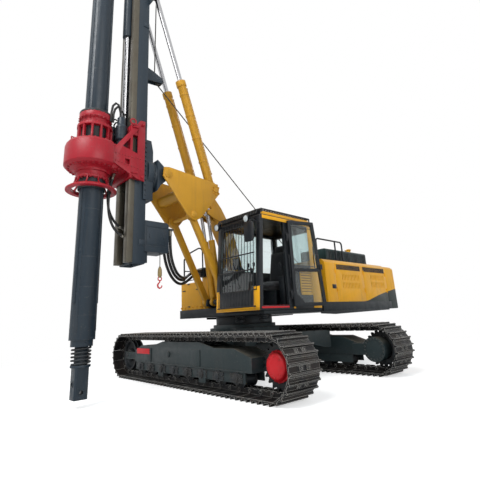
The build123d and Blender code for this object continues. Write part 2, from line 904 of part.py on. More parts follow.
def cab_shell():
    shell = side_plate(cab_profile(0), cab_right, cab_left)
    shell = fillet(shell.edges().filter_by(Axis.Y).sort_by(Axis.Z)[-2:], cab_corner)
    shell -= side_plate(cab_profile(cab_wall), cab_right + cab_wall, cab_left - cab_wall)
    sill = cab_floor + 70
    # Windows and the door opening
    sill_low, head = front_window
    shell -= bar(cab_front - 500, cab_front + 50, cab_right + window_edge, cab_left - window_edge,
                 cab_floor + sill_low, cab_top - head)
    shell -= side_plate([(door_hinge_x + 50, sill), (cab_front - 75, sill),
                         (cab_front - cab_lean - 75, cab_top - 75), (door_hinge_x + 50, cab_top - 75)],
                        cab_left - cab_wall - 1, cab_left + 1)
    sill_low, head = side_window
    shell -= bar(cab_rear + 80, door_hinge_x - 90, cab_left - cab_wall - 1, cab_left + 1,
                 cab_floor + sill_low, cab_top - head)
    shell -= bar(cab_rear + 80, door_hinge_x + 540, cab_right - 1, cab_right + cab_wall + 1,
                 cab_floor + sill_low, cab_top - head)
    sill_low, head = rear_window
    shell -= bar(cab_rear - 1, cab_rear + cab_wall + 1, cab_right + 120, cab_left - 120,
                 cab_floor + sill_low, cab_top - head)
    return shell + cab_hinges()


def pane(x0, x1, y0, y1, z0, z1):
    gap = seat_gap
    return bar(x0, x1, y0, y1, z0 + gap, z1 - gap)


def cab_glass():
    sill, head = front_window
    low = cab_floor + sill + seat_gap
    high = cab_top - head - seat_gap
    lean = cab_lean / cab_height
    back_low = cab_front - 30 - (low - cab_floor) * lean
    back_high = cab_front - 30 - (high - cab_floor) * lean
    front = side_plate([(back_low, low), (back_low + glass_thickness, low),
                        (back_high + glass_thickness, high), (back_high, high)],
                       cab_right + window_edge + seat_gap, cab_left - window_edge - seat_gap)
    sill, head = side_window
    side = pane(cab_rear + 80 + seat_gap, door_hinge_x - 90 - seat_gap, cab_left - 30,
                cab_left - 30 + glass_thickness, cab_floor + sill, cab_top - head)
    right = pane(cab_rear + 80 + seat_gap, door_hinge_x + 540 - seat_gap, cab_right + 30,
                 cab_right + 30 + glass_thickness, cab_floor + sill, cab_top - head)
    sill, head = rear_window
    back = pane(cab_rear + 30, cab_rear + 30 + glass_thickness, cab_right + 120 + seat_gap,
                cab_left - 120 - seat_gap, cab_floor + sill, cab_top - head)
    return front + side + right + back


def door_glass():
    half = glass_thickness / 2
    panes = side_plate(inset_corners(door_frame + seat_gap), -half, half)
    split = cab_floor + door_rail_height
    panes -= bar(0, cab_front, -20, 20, split - seat_gap, split + 55 + seat_gap)
    return swing_open(panes - gusset(seat_gap))


def cab_guard():
    # Bars ahead of the front window
    part = None
    x = cab_front + 40
    lean = degrees(atan2(cab_lean, cab_height))
    for index in range(9):
        y = cab_right + 110 + index * (cab_width - 220) / 8
        post = rod_z(0, y, 60, cab_height - 60, 8.0)
        part = post if part is None else part + post
    for z in (60, 660, 940, cab_height - 60):
        part += rod_y(0, z, cab_right + 90, cab_left - 90, 12.0)
    for y in (cab_right + 100, cab_left - 100):
        for z in (60, cab_height - 60):
            part += bar(-39.5, 0, y - 12, y + 12, z - 12, z + 12)
    return Pos(x, 0, cab_floor) * Rot(0, -lean, 0) * part


def cab_roof():
    roof = side_plate([(cab_rear + cab_corner, cab_top + seat_gap),
                       (cab_front - cab_lean - cab_corner, cab_top + seat_gap),
                       (cab_front - cab_lean - 2 * cab_corner, cab_top + cab_roof_rise),
                       (cab_rear + 2 * cab_corner, cab_top + cab_roof_rise)], cab_right + 30, cab_left - 30)
    return fillet(roof.edges().filter_by(Axis.Y).sort_by(Axis.Z)[-2:], 40)


def cab_seat():
    x = door_hinge_x - 180
    y = (cab_right + cab_left) / 2
    low = cab_floor + cab_wall + seat_gap
    base = bar(x - 190, x + 190, y - 200, y + 200, low, low + 330)
    cushion = bar(x - 250, x + 260, y - 250, y + 250, low + 330, low + 450)
    back = side_plate([(x - 240, low + 440), (x - 110, low + 440), (x - 220, low + 1080),
                       (x - 330, low + 1080)], y - 240, y + 240)
    return base + cushion + back


def cab_controls():
    y = (cab_right + cab_left) / 2
    low = cab_floor + cab_wall + seat_gap
    x = cab_front - 330
    post = bar(x - 60, x + 60, y - 110, y + 110, low, low + 260)
    part = post
    for hand in (-1, 1):
        part += rod_z(x - 20, y + hand * 70, low + 250, low + 720, 14.0)
        part += rod_z(x - 20, y + hand * 70, low + 720, low + 800, 24.0)
    return part


def door_corners():
    # The closed door in the cab's side, given as distances ahead of its hinge
    low = cab_floor + 40
    top = cab_top - 45
    far = cab_front - 45 - door_hinge_x
    lean_share = cab_lean
    return [(door_gap, low), (far, low), (far - lean_share, top), (door_gap, top)]


def inset_corners(inset):
    low_back, low_front, top_front, top_back = door_corners()
    return [
        (low_back[0] + inset, low_back[1] + inset),
        (low_front[0] - inset, low_front[1] + inset),
        (top_front[0] - inset, top_front[1] - inset),
        (top_back[0] + inset, top_back[1] - inset),
    ]


def swing_open(part):
    return Pos(door_hinge_x, cab_left + door_stand_off, 0) * Rot(0, 0, door_open_angle) * part


def gusset(margin):
    # The closed lower corner of the door beside its hinges
    x, z = inset_corners(door_frame)[0]
    size = door_gusset + 1.5 * margin
    return side_plate([(x - 1, z - 1), (x + size, z - 1), (x - 1, z + size)], -door_thickness / 2,
                      door_thickness / 2)


def cab_door():
    frame = side_plate(door_corners(), -door_thickness / 2, door_thickness / 2)
    frame -= side_plate(inset_corners(door_frame), -door_thickness, door_thickness)
    split = cab_floor + door_rail_height
    rail = bar(door_gap + 10, cab_front - 45 - door_hinge_x - 50, -door_thickness / 2, door_thickness / 2,
               split, split + 55)
    knuckles = []
    for low in hinge_heights():
        knuckles.append(rod_z(0, 0, low, low + 100, 16.0) + bar(0, door_gap + 10, -8, 8, low, low + 100))
    hinge_bore = rod_z(0, 0, cab_floor, cab_top, 8.0 + pin_gap)
    return swing_open(frame + rail + gusset(0) + joined(knuckles) - hinge_bore)


def hinge_heights():
    return (cab_floor + 200, cab_top - 400)


def cab_hinges():
    part = None
    for low in hinge_heights():
        hinge = rod_z(door_hinge_x, cab_left + door_stand_off, low - 30, low + 130, 8.0)
        for step in (-30, 102):
            hinge += bar(door_hinge_x - 14, door_hinge_x + 14, cab_left - 1, cab_left + 42, low + step,
                         low + step + 28)
        part = hinge if part is None else part + hinge
    return part


# Front linkage
def straight_link(x, z, width_low, width_high):
    half = link_bar_depth / 2
    body = bar(-half, half, width_low, width_high, 0, link_length)
    body += rod_y(0, 0, width_low, width_high, link_eye_radius)
    body += rod_y(0, link_length, width_low, width_high, link_eye_radius)
    body -= rod_y(0, 0, width_low - 1, width_high + 1, link_pin_radius + pin_gap)
    body -= rod_y(0, link_length, width_low - 1, width_high + 1, link_pin_radius + pin_gap)
    return leaned(body, x, z, link_lean)


def support_links():
    low = link_offset - link_bar_width / 2
    high = link_offset + link_bar_width / 2
    return mirrored(straight_link(link_foot_x, link_foot_z, low, high))


def boom():
    # Box boom: distance along it and its depth ahead of and behind the pin line
    boom_stations = [
        {"along": 0.0, "ahead": 80.0, "behind": 90.0},
        {"along": 0.45, "ahead": 62.0, "behind": 230.0},
        {"along": 0.78, "ahead": 62.0, "behind": 180.0},
        {"along": 1.0, "ahead": 80.0, "behind": 80.0},
    ]
    ahead = [(row["ahead"], row["along"] * link_length) for row in boom_stations]
    behind = [(-row["behind"], row["along"] * link_length) for row in reversed(boom_stations)]
    body = side_plate(ahead + behind, -boom_half_width, boom_half_width)
    body += rod_y(0, 0, -boom_half_width, boom_half_width, boom_eye_radius)
    body += rod_y(0, link_length, -boom_half_width, boom_half_width, boom_eye_radius)
    body = leaned(body, boom_foot_x, boom_foot_z, link_lean)
    lug_inner = luff_offset - luff_eye_width / 2 - run_gap
    lug_outer = luff_offset + luff_eye_width / 2 + run_gap
    lug_edge = lug_outer + luff_eye_lug
    for y0, y1 in ((-lug_inner, lug_inner), (lug_outer, lug_edge), (-lug_edge, -lug_outer)):
        body += side_plate([(luff_eye_x - 270, luff_eye_z - 170), (luff_eye_x + 40, luff_eye_z - 50),
                            (luff_eye_x + 50, luff_eye_z + 20), (luff_eye_x - 10, luff_eye_z + 50),
                            (luff_eye_x - 190, luff_eye_z + 150)], y0, y1)
    body += rod_y(luff_eye_x, luff_eye_z, -lug_edge, lug_edge, luff_pin_radius)
    for x, z in ((boom_foot_x, boom_foot_z), (boom_tip_x, boom_tip_z)):
        body -= rod_y(x, z, -2 * boom_half_width, 2 * boom_half_width, boom_pin_radius + pin_gap)
    return body


def luff_line():
    dx = luff_eye_x - link_foot_x
    dz = luff_eye_z - link_foot_z
    return hypot(dx, dz), degrees(atan2(dx, dz))


def luff_barrels():
    length, lean = luff_line()
    y0 = luff_offset - 30
    y1 = luff_offset + 30
    part = rod_z(0, luff_offset, 90, luff_barrel_length, luff_barrel_radius)
    part -= rod_z(0, luff_offset, 140, luff_barrel_length + 1, luff_barrel_radius - barrel_wall)
    part += rod_y(0, 0, y0, y1, luff_foot_radius)
    part += bar(-45, 45, y0, y1, 0, 100)
    part -= rod_y(0, 0, y0 - 1, y1 + 1, link_pin_radius + pin_gap)
    return leaned(mirrored(part), link_foot_x, link_foot_z, lean)


def luff_rods():
    length, lean = luff_line()
    y0 = luff_offset - luff_eye_width / 2
    y1 = luff_offset + luff_eye_width / 2
    part = rod_z(0, luff_offset, 620, length - luff_eye_radius + 10, luff_rod_radius)
    part += rod_z(0, luff_offset, 560, 620, luff_barrel_radius - barrel_wall - pin_gap)
    part += rod_y(0, length, y0, y1, luff_eye_radius)
    part -= rod_y(0, length, y0 - 1, y1 + 1, luff_pin_radius + luff_pin_play)
    return leaned(mirrored(part), link_foot_x, link_foot_z, lean)


def mast_frame():
    low = plate_offset
    high = plate_offset + plate_thickness
    plate = side_plate([(cradle_x + 70, cradle_z + 110), (cradle_x - 30, cradle_z + 130),
                        (boom_tip_x + 40, boom_tip_z + 150), (boom_tip_x - 80, boom_tip_z + 60),
                        (boom_tip_x - 60, boom_tip_z - 90), (link_top_x - 160, link_top_z - 40),
                        (link_top_x - 40, link_top_z - 110), (link_top_x + 110, link_top_z - 60),
                        (cradle_x + 90, cradle_z - 60)], low, high)
    part = mirrored(plate)
    part += rod_y(link_top_x, link_top_z, -high, high, link_pin_radius)
    part += rod_y(boom_tip_x, boom_tip_z, -high, high, boom_pin_radius)
    part += rod_y(cradle_x, cradle_z, -high, high, cradle_pin_radius)
    tube_x = (link_top_x + cradle_x) / 2 - 60
    tube_z = (link_top_z + cradle_z) / 2 + 40
    part += rod_y(tube_x, tube_z, -high, high, frame_tube_radius)
    return part


def tilt_line():
    dx = tilt_eye_x - boom_tip_x
    dz = tilt_eye_z - boom_tip_z
    return hypot(dx, dz), degrees(atan2(dx, dz))


def tilt_yokes():
    # Rings on the boom tip's pin whose trunnions let the tilt cylinders lean sideways too
    inner = tilt_offset - yoke_half_width
    outer = tilt_offset + yoke_half_width
    yoke = rod_y(0, 0, inner, outer, yoke_radius)
    yoke += rod_x(tilt_offset, 0, -trunnion_reach, trunnion_reach, trunnion_radius)
    yoke -= rod_y(0, 0, inner - 1, outer + 1, boom_pin_radius + pin_gap)
    return Pos(boom_tip_x, 0, boom_tip_z) * mirrored(yoke)


def tilt_fork():
    # The foot of a tilt cylinder: two cheeks over the yoke's trunnions, with a bridge above them
    low = tilt_offset - fork_half_width
    high = tilt_offset + fork_half_width
    outer = fork_inner + fork_cheek
    fork = bar(-outer, outer, low, high, fork_bridge - fork_bridge_depth, fork_bridge)
    for hand in (-1, 1):
        fork += bar(hand * fork_inner, hand * outer, low, high, 0, fork_bridge)
        fork += rod_x(tilt_offset, 0, hand * fork_inner, hand * outer, fork_half_width)
    return fork - rod_x(tilt_offset, 0, -outer - 1, outer + 1, trunnion_radius + trunnion_play)


def tilt_barrels():
    length, lean = tilt_line()
    foot = fork_bridge - fork_bridge_depth / 2
    barrel = rod_z(0, tilt_offset, foot, tilt_barrel_length, tilt_barrel_radius)
    barrel += rod_z(0, tilt_offset, tilt_barrel_length - 110, tilt_barrel_length, tilt_collar_radius)
    barrel -= rod_z(0, tilt_offset, foot + 80, tilt_barrel_length + 1, tilt_barrel_radius - barrel_wall)
    return leaned(mirrored(barrel), boom_tip_x, boom_tip_z, lean) + Pos(boom_tip_x, 0, boom_tip_z) * mirrored(
        tilt_fork())


def tilt_rods():
    length, lean = tilt_line()
    y0 = tilt_offset - tilt_eye_half
    y1 = tilt_offset + tilt_eye_half
    part = rod_z(0, tilt_offset, 760, length - tilt_eye_radius + 10, tilt_rod_radius)
    part += rod_z(0, tilt_offset, 700, 760, tilt_barrel_radius - barrel_wall - pin_gap)
    part += rod_y(0, length, y0, y1, tilt_eye_radius)
    part -= rod_y(0, length, y0 - 1, y1 + 1, tilt_pin_radius + tilt_pin_play)
    return leaned(mirrored(part), boom_tip_x, boom_tip_z, lean)


def mast_cradle():
    half = cradle_half_width
    body = side_plate([(cradle_x - 40, cradle_z + 80), (cradle_x + 60, cradle_z + 170),
                       (turntable_x, cradle_z + 250), (turntable_x, cradle_z - 330),
                       (cradle_x + 100, cradle_z - 220), (cradle_x - 60, cradle_z - 70)], -half, half)
    body += rod_y(cradle_x, cradle_z, -half, half, 95.0)
    body += rod_x(0, turntable_z, turntable_x - 1, turntable_x + turntable_thickness, turntable_radius)
    body -= rod_y(cradle_x, cradle_z, -half - 1, half + 1, cradle_pin_radius + pin_gap)
    return body


def mast_mount():
    # A block behind the mast on a stepped turntable, with a cheek on each side of the beam
    start = turntable_x + turntable_thickness + seat_gap
    end = mast_rear - seat_gap
    block = side_plate([(start + turntable_step, mount_bottom), (end, mount_bottom), (end, mount_top),
                        (start + 2 * turntable_step, mount_top), (start + turntable_step, mount_top - 200)],
                       -mount_half_width, mount_half_width)
    block += rod_x(0, turntable_z, start, end, turntable_radius)
    block += rod_x(0, turntable_z, start + turntable_step, end, turntable_radius + turntable_step)
    rear = start + 2 * turntable_step
    front = mast_rear + mount_cheek_reach
    cheek = side_plate([(rear, mount_bottom + 150), (end - 20, mount_bottom), (front, mount_bottom),
                        (front, mount_top), (end - 20, mount_top), (rear, mount_top - 240)],
                       mast_half_width + seat_gap, mast_half_width + mount_cheek)
    return block + mirrored(cheek)


def mast_beam():
    outer = bar(mast_rear, mast_front, -mast_half_width, mast_half_width, mast_bottom, mast_top)
    inner = bar(mast_rear + mast_wall, mast_front - mast_wall, -mast_half_width + mast_wall,
                mast_half_width - mast_wall, mast_bottom - 1, mast_top + 1)
    return outer - inner


def mast_rails():
    rail = bar(mast_front, rail_front, rail_inner, mast_half_width, rail_bottom, rail_top)
    return mirrored(rail)


def mast_service_box():
    # The box behind the mast's foot, with the plate that the mast's hoses start from
    box = bar(service_box_rear, mast_rear - seat_gap, -service_box_right, service_box_left,
              service_box_bottom, service_box_top)
    box = chamfer(box.edges().filter_by(Axis.Y).sort_by(Axis.X)[:2], 30)
    box += bar(mast_rear - 90, mast_rear - seat_gap, -110, service_box_right, rail_bottom + 20,
               service_box_bottom + 1)
    plate_z = hose_routes["mast_hose_near"][0][2] + hose_nut
    box += bar(service_box_rear - 110, service_box_rear + 1, -service_box_right, service_box_left, plate_z,
               plate_z + 20)
    for name in mast_hoses:
        box += gland(name, 0, mast_hose_radius, hose_nut + 4)
    return box


def hose_landing():
    # The gland on the mast's front face, between the rails, that the rotary head's hose goes into
    x, y, z = hose_routes["head_hose"][-1]
    face = mast_front + seat_gap
    pad = bar(face, mast_front + 12, y - 60, y + 60, z - 90, z + 70)
    fitting = gland("head_hose", -1, head_hose_radius, 60)
    return pad + fitting - bar(mast_front - 200, face, y - 80, y + 80, z - 200, z + 200)


def tilt_bracket():
    face = mast_rear - seat_gap
    outline = [(face, tilt_eye_z + 260), (tilt_eye_x + 30, tilt_eye_z + 70),
               (tilt_eye_x - 60, tilt_eye_z + 40), (tilt_eye_x - 60, tilt_eye_z - 50),
               (tilt_eye_x + 20, tilt_eye_z - 70), (face, tilt_eye_z - 220)]
    near = tilt_eye_half + tilt_lug_gap
    far = near + tilt_lug
    lugs = side_plate(outline, tilt_offset - far, tilt_offset - near)
    lugs += side_plate(outline, tilt_offset + near, tilt_offset + far)
    pad = bar(mast_rear - 20, face, -tilt_offset - far, tilt_offset + far, tilt_eye_z - 260, tilt_eye_z + 300)
    pin = rod_y(tilt_eye_x, tilt_eye_z, tilt_offset - far, tilt_offset + far, tilt_pin_radius)
    return mirrored(lugs + pin) + pad


def rope_bracket():
    z = rope_sheave_z
    face = mast_rear - seat_gap
    outer = rope_bracket_inner + rope_bracket_plate
    arm = side_plate([(face, z + 180), (rope_sheave_x + 130, z + 120), (rope_sheave_x - 60, z + 40),
                      (rope_sheave_x - 60, z - 60), (face, z - 120)], rope_bracket_inner, outer)
    return mirrored(arm) + rod_y(rope_sheave_x, z, -outer, outer, rope_pin_radius)


def rope_sheave():
    rows = [
        {"radius": 0.0, "out": 42.0},
        {"radius": rope_pin_radius + 16, "out": 42.0},
        {"radius": rope_pin_radius + 16, "out": 14.0},
        {"radius": rope_sheave_radius - 28, "out": 14.0},
        {"radius": rope_sheave_radius - 20, "out": 26.0},
        {"radius": rope_sheave_radius, "out": 26.0},
        {"radius": rope_sheave_radius - groove_depth / 2, "out": 8.0},
    ]
    disc = wheel(rows, rope_sheave_x, 0, rope_sheave_z)
    return disc - rod_y(rope_sheave_x, rope_sheave_z, -43, 43, rope_pin_radius + pin_gap)


def mast_head():
    # Two cheeks that carry the crown sheaves, lightened by round holes, over a closing plate
    front = kelly_x + head_reach
    rear = sheave_rear_x - head_tail
    inner = mast_half_width + seat_gap
    outer = mast_half_width + head_cheek
    cheek = side_plate([(mast_rear - 160, mast_top - head_skirt), (mast_front + 40, mast_top - head_skirt),
                        (mast_front + 40, mast_top), (front, sheave_z - 150), (front, sheave_z + 130),
                        (rear, sheave_z + 130), (rear, sheave_z - 130)], inner, outer)
    for x, z, radius in ((mast_rear + mast_depth / 2, mast_top - 200, 85), (2 * mast_front - mast_rear - 170,
                                                                           sheave_z - 20, 80)):
        cheek -= rod_y(x, z, inner - 1, outer + 1, radius)
    part = mirrored(cheek)
    part += bar(mast_rear, mast_front, -inner - 1, inner + 1, mast_top + seat_gap, mast_top + 20)
    for x in (sheave_front_x, sheave_rear_x):
        part += rod_y(x, sheave_z, -outer, outer, sheave_pin_radius)
    return part


def crown_sheave(x):
    rows = [
        {"radius": 0.0, "out": sheave_hub_half},
        {"radius": sheave_pin_radius + 30, "out": sheave_hub_half},
        {"radius": sheave_pin_radius + 30, "out": 26.0},
        {"radius": sheave_pin_radius + 60, "out": 14.0},
        {"radius": sheave_radius - 58, "out": 14.0},
        {"radius": sheave_radius - 48, "out": sheave_width / 2},
        {"radius": sheave_radius, "out": sheave_width / 2},
        {"radius": sheave_radius, "out": sheave_width / 2 - 8},
        {"radius": sheave_radius - groove_depth, "out": 10.0},
    ]
    disc = wheel(rows, x, 0, sheave_z)
    return disc - rod_y(x, sheave_z, -sheave_hub_half - 1, sheave_hub_half + 1, sheave_pin_radius + pin_gap)


def feed_barrel():
    part = rod_z(feed_x, 0, feed_gland_z, feed_barrel_top, feed_barrel_radius)
    part -= rod_z(feed_x, 0, feed_gland_z + 80, feed_barrel_top - 60, feed_bore_radius)
    part -= rod_z(feed_x, 0, feed_gland_z - 1, feed_gland_z + 90, feed_rod_radius + pin_gap)
    return part


def feed_bracket():
    # Two saddles between the rails that hold the feed cylinder's barrel
    saddle_spans = ((feed_barrel_top - 400, feed_barrel_top - 280), (feed_gland_z + 200, feed_gland_z + 300))
    part = joined([bar(mast_front + seat_gap, feed_x - feed_barrel_radius + 60, -rail_inner + 1,
                       rail_inner - 1, low, high) for low, high in saddle_spans])
    return part - rod_z(feed_x, 0, feed_gland_z, feed_barrel_top, feed_barrel_radius + seat_gap)


def feed_rod():
    part = rod_z(feed_x, 0, feed_rod_bottom + feed_eye_radius - 12, feed_rod_top, feed_rod_radius)
    part += rod_z(feed_x, 0, feed_rod_top - 70, feed_rod_top, feed_bore_radius - 1)
    part += rod_y(feed_x, feed_rod_bottom, -35, 35, feed_eye_radius)
    return part - rod_y(feed_x, feed_rod_bottom, -36, 36, feed_pin_radius + pin_gap)


# Rotary head
def head_bracket():
    # Side plates with a triangular and a square window, a back plate, and shoes round the rails
    low = head_plate_offset
    high = low + head_plate_thickness
    plate = side_plate([(bracket_rear, bracket_top), (bracket_rear + 90, bracket_top - 10),
                        (bracket_nose, bracket_top - 670), (bracket_nose - 20, bracket_bottom + 210),
                        (bracket_rear + 130, bracket_bottom + 20), (bracket_rear, bracket_bottom)], low, high)
    plate -= side_plate([(bracket_rear + 130, bracket_top - 200), (bracket_nose - 160, bracket_top - 580),
                         (bracket_rear + 130, bracket_top - 650)], low - 1, high + 1)
    plate -= bar(bracket_nose - 290, bracket_nose - 210, low - 1, high + 1, bracket_bottom + 240,
                 bracket_bottom + 330)
    part = mirrored(plate)
    part += bar(head_back, head_back + bracket_back, -high, high, bracket_bottom + 20, bracket_top - 150)
    for z0 in (bracket_bottom + 40, bracket_top - 300):
        shoe = bar(mast_rear + 120, head_back + 1, mast_half_width + shoe_clearance, low + 1, z0, z0 + 220)
        part += mirrored(shoe)
    part += mirrored(bar(head_back, feed_x + 60, 42, 66, bracket_top - 180, feed_rod_bottom + 50))
    return part + rod_y(feed_x, feed_rod_bottom, -66, 66, feed_pin_radius)


def head_case():
    # A round gear case with stepped collars under it, lifting eyes, and flats between the bracket's plates
    shoulder = case_bottom - case_step
    case_rows = [
        {"radius": 0.0, "height": collar_bottom},
        {"radius": head_collar_radius, "height": collar_bottom},
        {"radius": head_collar_radius, "height": shoulder},
        {"radius": head_collar_radius + 28, "height": shoulder},
        {"radius": head_collar_radius + 28, "height": case_bottom - case_bevel},
        {"radius": head_collar_radius + 90, "height": case_bottom - 10},
        {"radius": case_radius - case_bevel, "height": case_bottom},
        {"radius": case_radius, "height": case_bottom + case_bevel},
        {"radius": case_radius, "height": case_top - 2 * case_bevel},
        {"radius": case_radius - 12, "height": case_top - 2 * case_bevel + 4},
        {"radius": case_radius - 12, "height": case_top - case_bevel},
        {"radius": case_radius - case_bevel, "height": case_top},
        {"radius": 0.0, "height": case_top},
    ]
    part = Pos(kelly_x, 0, 0) * turned(case_rows)
    part += bar(head_back + bracket_back + seat_gap, kelly_x - case_half_width, -case_half_width,
                case_half_width, case_bottom + 10, case_top)
    part -= mirrored(bar(head_back, bracket_nose + 10, head_plate_offset - seat_gap, case_radius + 10,
                         collar_bottom, case_top + 1))
    for angle in case_eye_angles:
        eye = bar(case_radius - 92, case_radius - 44, -10, 10, case_top - 1, case_top + 55)
        eye -= rod_y(case_radius - 68, case_top + 30, -11, 11, 13)
        part += Pos(kelly_x, 0, 0) * Rot(0, 0, angle) * eye
    part += gland("head_hose", 0, head_hose_radius, case_bottom - hose_routes["head_hose"][0][2] + 30)
    return part - head_bore_tool()


def head_bore_tool():
    return rod_z(kelly_x, 0, head_bottom - 1, flange_top + 1, head_bore)


def head_cage():
    # Two rings joined by ribs with openings between them, then the neck and the top flange
    cage_rows = [
        {"radius": 0.0, "height": cage_top - cage_ring},
        {"radius": cage_radius, "height": cage_top - cage_ring},
        {"radius": cage_radius, "height": cage_top},
        {"radius": head_bore + neck_wall, "height": cage_top},
        {"radius": head_bore + neck_wall, "height": flange_top - flange_height},
        {"radius": flange_radius, "height": flange_top - flange_height + 30},
        {"radius": flange_radius, "height": flange_top},
        {"radius": 0.0, "height": flange_top},
    ]
    part = Pos(kelly_x, 0, 0) * turned(cage_rows)
    part += rod_z(kelly_x, 0, case_top + seat_gap, case_top + cage_ring, cage_radius)
    rib_height = cage_top - case_top - cage_ring
    for index in range(cage_ribs):
        rib = Pos(cage_radius - 26, 0, (case_top + cage_top) / 2) * Box(44, 30, rib_height)
        part += Pos(kelly_x, 0, 0) * Rot(0, 0, 360 * index / cage_ribs) * rib
    return part - head_bore_tool()


def head_bell():
    # An open bell: a sloped ring hung from a collar by ribs whose outer edges are hollow curves
    ring_rows = [
        {"radius": bell_ring_inner, "height": head_bottom},
        {"radius": bell_ring_radius, "height": head_bottom},
        {"radius": bell_ring_radius, "height": head_bottom + bell_rim},
        {"radius": bell_ring_inner + 36, "height": head_bottom + bell_ring_height},
        {"radius": bell_ring_inner, "height": head_bottom + bell_ring_height},
    ]
    top = collar_bottom - seat_gap
    part = Pos(kelly_x, 0, 0) * turned(ring_rows)
    part += rod_z(kelly_x, 0, top - bell_collar, top, head_collar_radius + 9)
    inner = head_collar_radius - 9
    rib = side_plate([(inner, top), (bell_ring_radius - 8, top), (bell_ring_radius - 8, head_bottom + 10),
                      (bell_ring_inner + 5, head_bottom + 10), (inner, top - 60)],
                     -bell_rib_half, bell_rib_half)
    rib -= rod_y(bell_arc_x, head_bottom + bell_arc_z, -bell_rib_half - 1, bell_rib_half + 1, bell_arc_radius)
    for index in range(bell_ribs):
        part += Pos(kelly_x, 0, 0) * Rot(0, 0, 360 * (index + 0.5) / bell_ribs) * rib
    return part - head_bore_tool()


def head_motors():
    motor_rows = [
        {"radius": 0.0, "height": seat_gap},
        {"radius": 74.0, "height": seat_gap},
        {"radius": 74.0, "height": 40.0},
        {"radius": 60.0, "height": 50.0},
        {"radius": 60.0, "height": 130.0},
        {"radius": motor_radius, "height": 150.0},
        {"radius": motor_radius, "height": 400.0},
        {"radius": 72.0, "height": 430.0},
        {"radius": 72.0, "height": motor_height},
        {"radius": 0.0, "height": motor_height},
    ]
    return joined([Pos(motor_x, y, case_top) * turned(motor_rows) for y in (-motor_offset, motor_offset)])


def drive_sleeve():
    top = flange_top + sleeve_rim
    part = rod_z(kelly_x, 0, sleeve_bottom, top, head_bore - 2 * pin_gap)
    part += rod_z(kelly_x, 0, flange_top + seat_gap, top, flange_radius)
    return part - rod_z(kelly_x, 0, sleeve_bottom - 1, top + 1, sleeve_bore)


# Kelly bar
def kelly_tube():
    tube = rod_z(kelly_x, 0, tube_bottom, tube_top, kelly_radius)
    for index in range(3):
        turn = 120.0 * index + 20
        strip = bar(kelly_radius - 8, kelly_radius + key_depth, -key_width / 2, key_width / 2,
                    tube_bottom + key_end, tube_top - key_end)
        tube += Pos(kelly_x, 0, 0) * Rot(0, 0, turn) * strip
    tube += rod_z(kelly_x, 0, tube_top - 1, tube_top + tube_cap, kelly_radius + 60)
    tube -= rod_z(kelly_x, 0, tube_bottom - 1, tube_top, kelly_radius - tube_wall)
    return tube


def kelly_stub():
    half = stub_side / 2
    stub = bar(kelly_x - half, kelly_x + half, -half, half, kelly_tip, stub_top + 1)
    stub = chamfer(stub.edges().filter_by(Axis.Z), 18)
    stub += rod_z(kelly_x, 0, stub_top, stub_top + seat_ring_height, spring_radius + spring_wire)
    stub += rod_z(kelly_x, 0, stub_top, spring_top + 1, core_radius)
    stub += rod_z(kelly_x, 0, spring_top, tube_bottom + 1, collar_radius)
    stub += rod_z(kelly_x, 0, tube_bottom, tube_bottom + 400, kelly_radius - tube_wall - seat_gap)
    stub -= rod_y(kelly_x, low_pin_height, -stub_side, stub_side, tool_pin_radius)
    stub -= rod_x(0, high_pin_height, kelly_x - stub_side, kelly_x + stub_side, tool_pin_radius)
    return stub


def kelly_spring():
    # The coil seats between the ring on the stub and the collar under the tube
    low = stub_top + seat_ring_height + spring_wire + seat_gap
    rise = spring_top - spring_wire - seat_gap - low
    path = Helix(pitch=rise / spring_coils, height=rise, radius=spring_radius)
    wire = sweep(Plane(origin=path @ 0, z_dir=path % 0) * Circle(spring_wire), path=path)
    return Pos(kelly_x, 0, low) * wire


def kelly_swivel():
    low = tube_top + tube_cap
    part = rod_z(kelly_x, 0, low + seat_gap, low + 160, 110)
    part += rod_z(kelly_x, 0, low + 160, low + 360, 70)
    part += rod_y(kelly_x, low + 400, -30, 30, 80)
    return part - rod_y(kelly_x, low + 400, -31, 31, 30)


# Free hoses
def gland(name, end, radius, length):
    # The fitting that one end of a hose butts against, in line with it
    points = [Vector(*point) for point in hose_routes[name]]
    tip, inside = (points[0], points[1]) if end == 0 else (points[-1], points[-2])
    plane = Plane(origin=tip, z_dir=(tip - inside).normalized())
    return plane * (Pos(0, 0, length / 2) * Cylinder(radius + hose_nut, length))


def hose(name, radius):
    # Straight runs joined by arcs, each as large as its two runs allow
    points = [Vector(*point) for point in hose_routes[name]]
    radii = []
    for before, here, after in zip(points, points[1:], points[2:]):
        turn = radians((here - before).get_angle(after - here))
        shorter = min((here - before).length, (after - here).length)
        radii.append(0.45 * shorter / tan(turn / 2))
    path = FilletPolyline(*points, radius=radii)
    tube = sweep(Plane(origin=path @ 0, z_dir=path % 0) * Circle(radius), path=path)
    share = tube.volume / (pi * radius ** 2 * path.length)
    runs = [round((after - before).length) for before, after in zip(points, points[1:])]
    print(name, "length", round(path.length), "volume share", round(share, 4), "runs", runs, "radii",
          [round(value) for value in radii])
    return tube


# Node names and their builders: the undercarriage pieces are turned to the parked heading
turned_nodes = {
    "track_left": track(1),
    "track_right": track(-1),
    "track_frames": track_frames(),
    "drive_covers": drive_covers(),
    "track_rollers": rollers() + idlers() + sprockets(),
    "car_body": car_body(),
    "slew_ring": slew_ring(),
}
for name, piece in turned_nodes.items():
    save(undercarriage(piece), name)

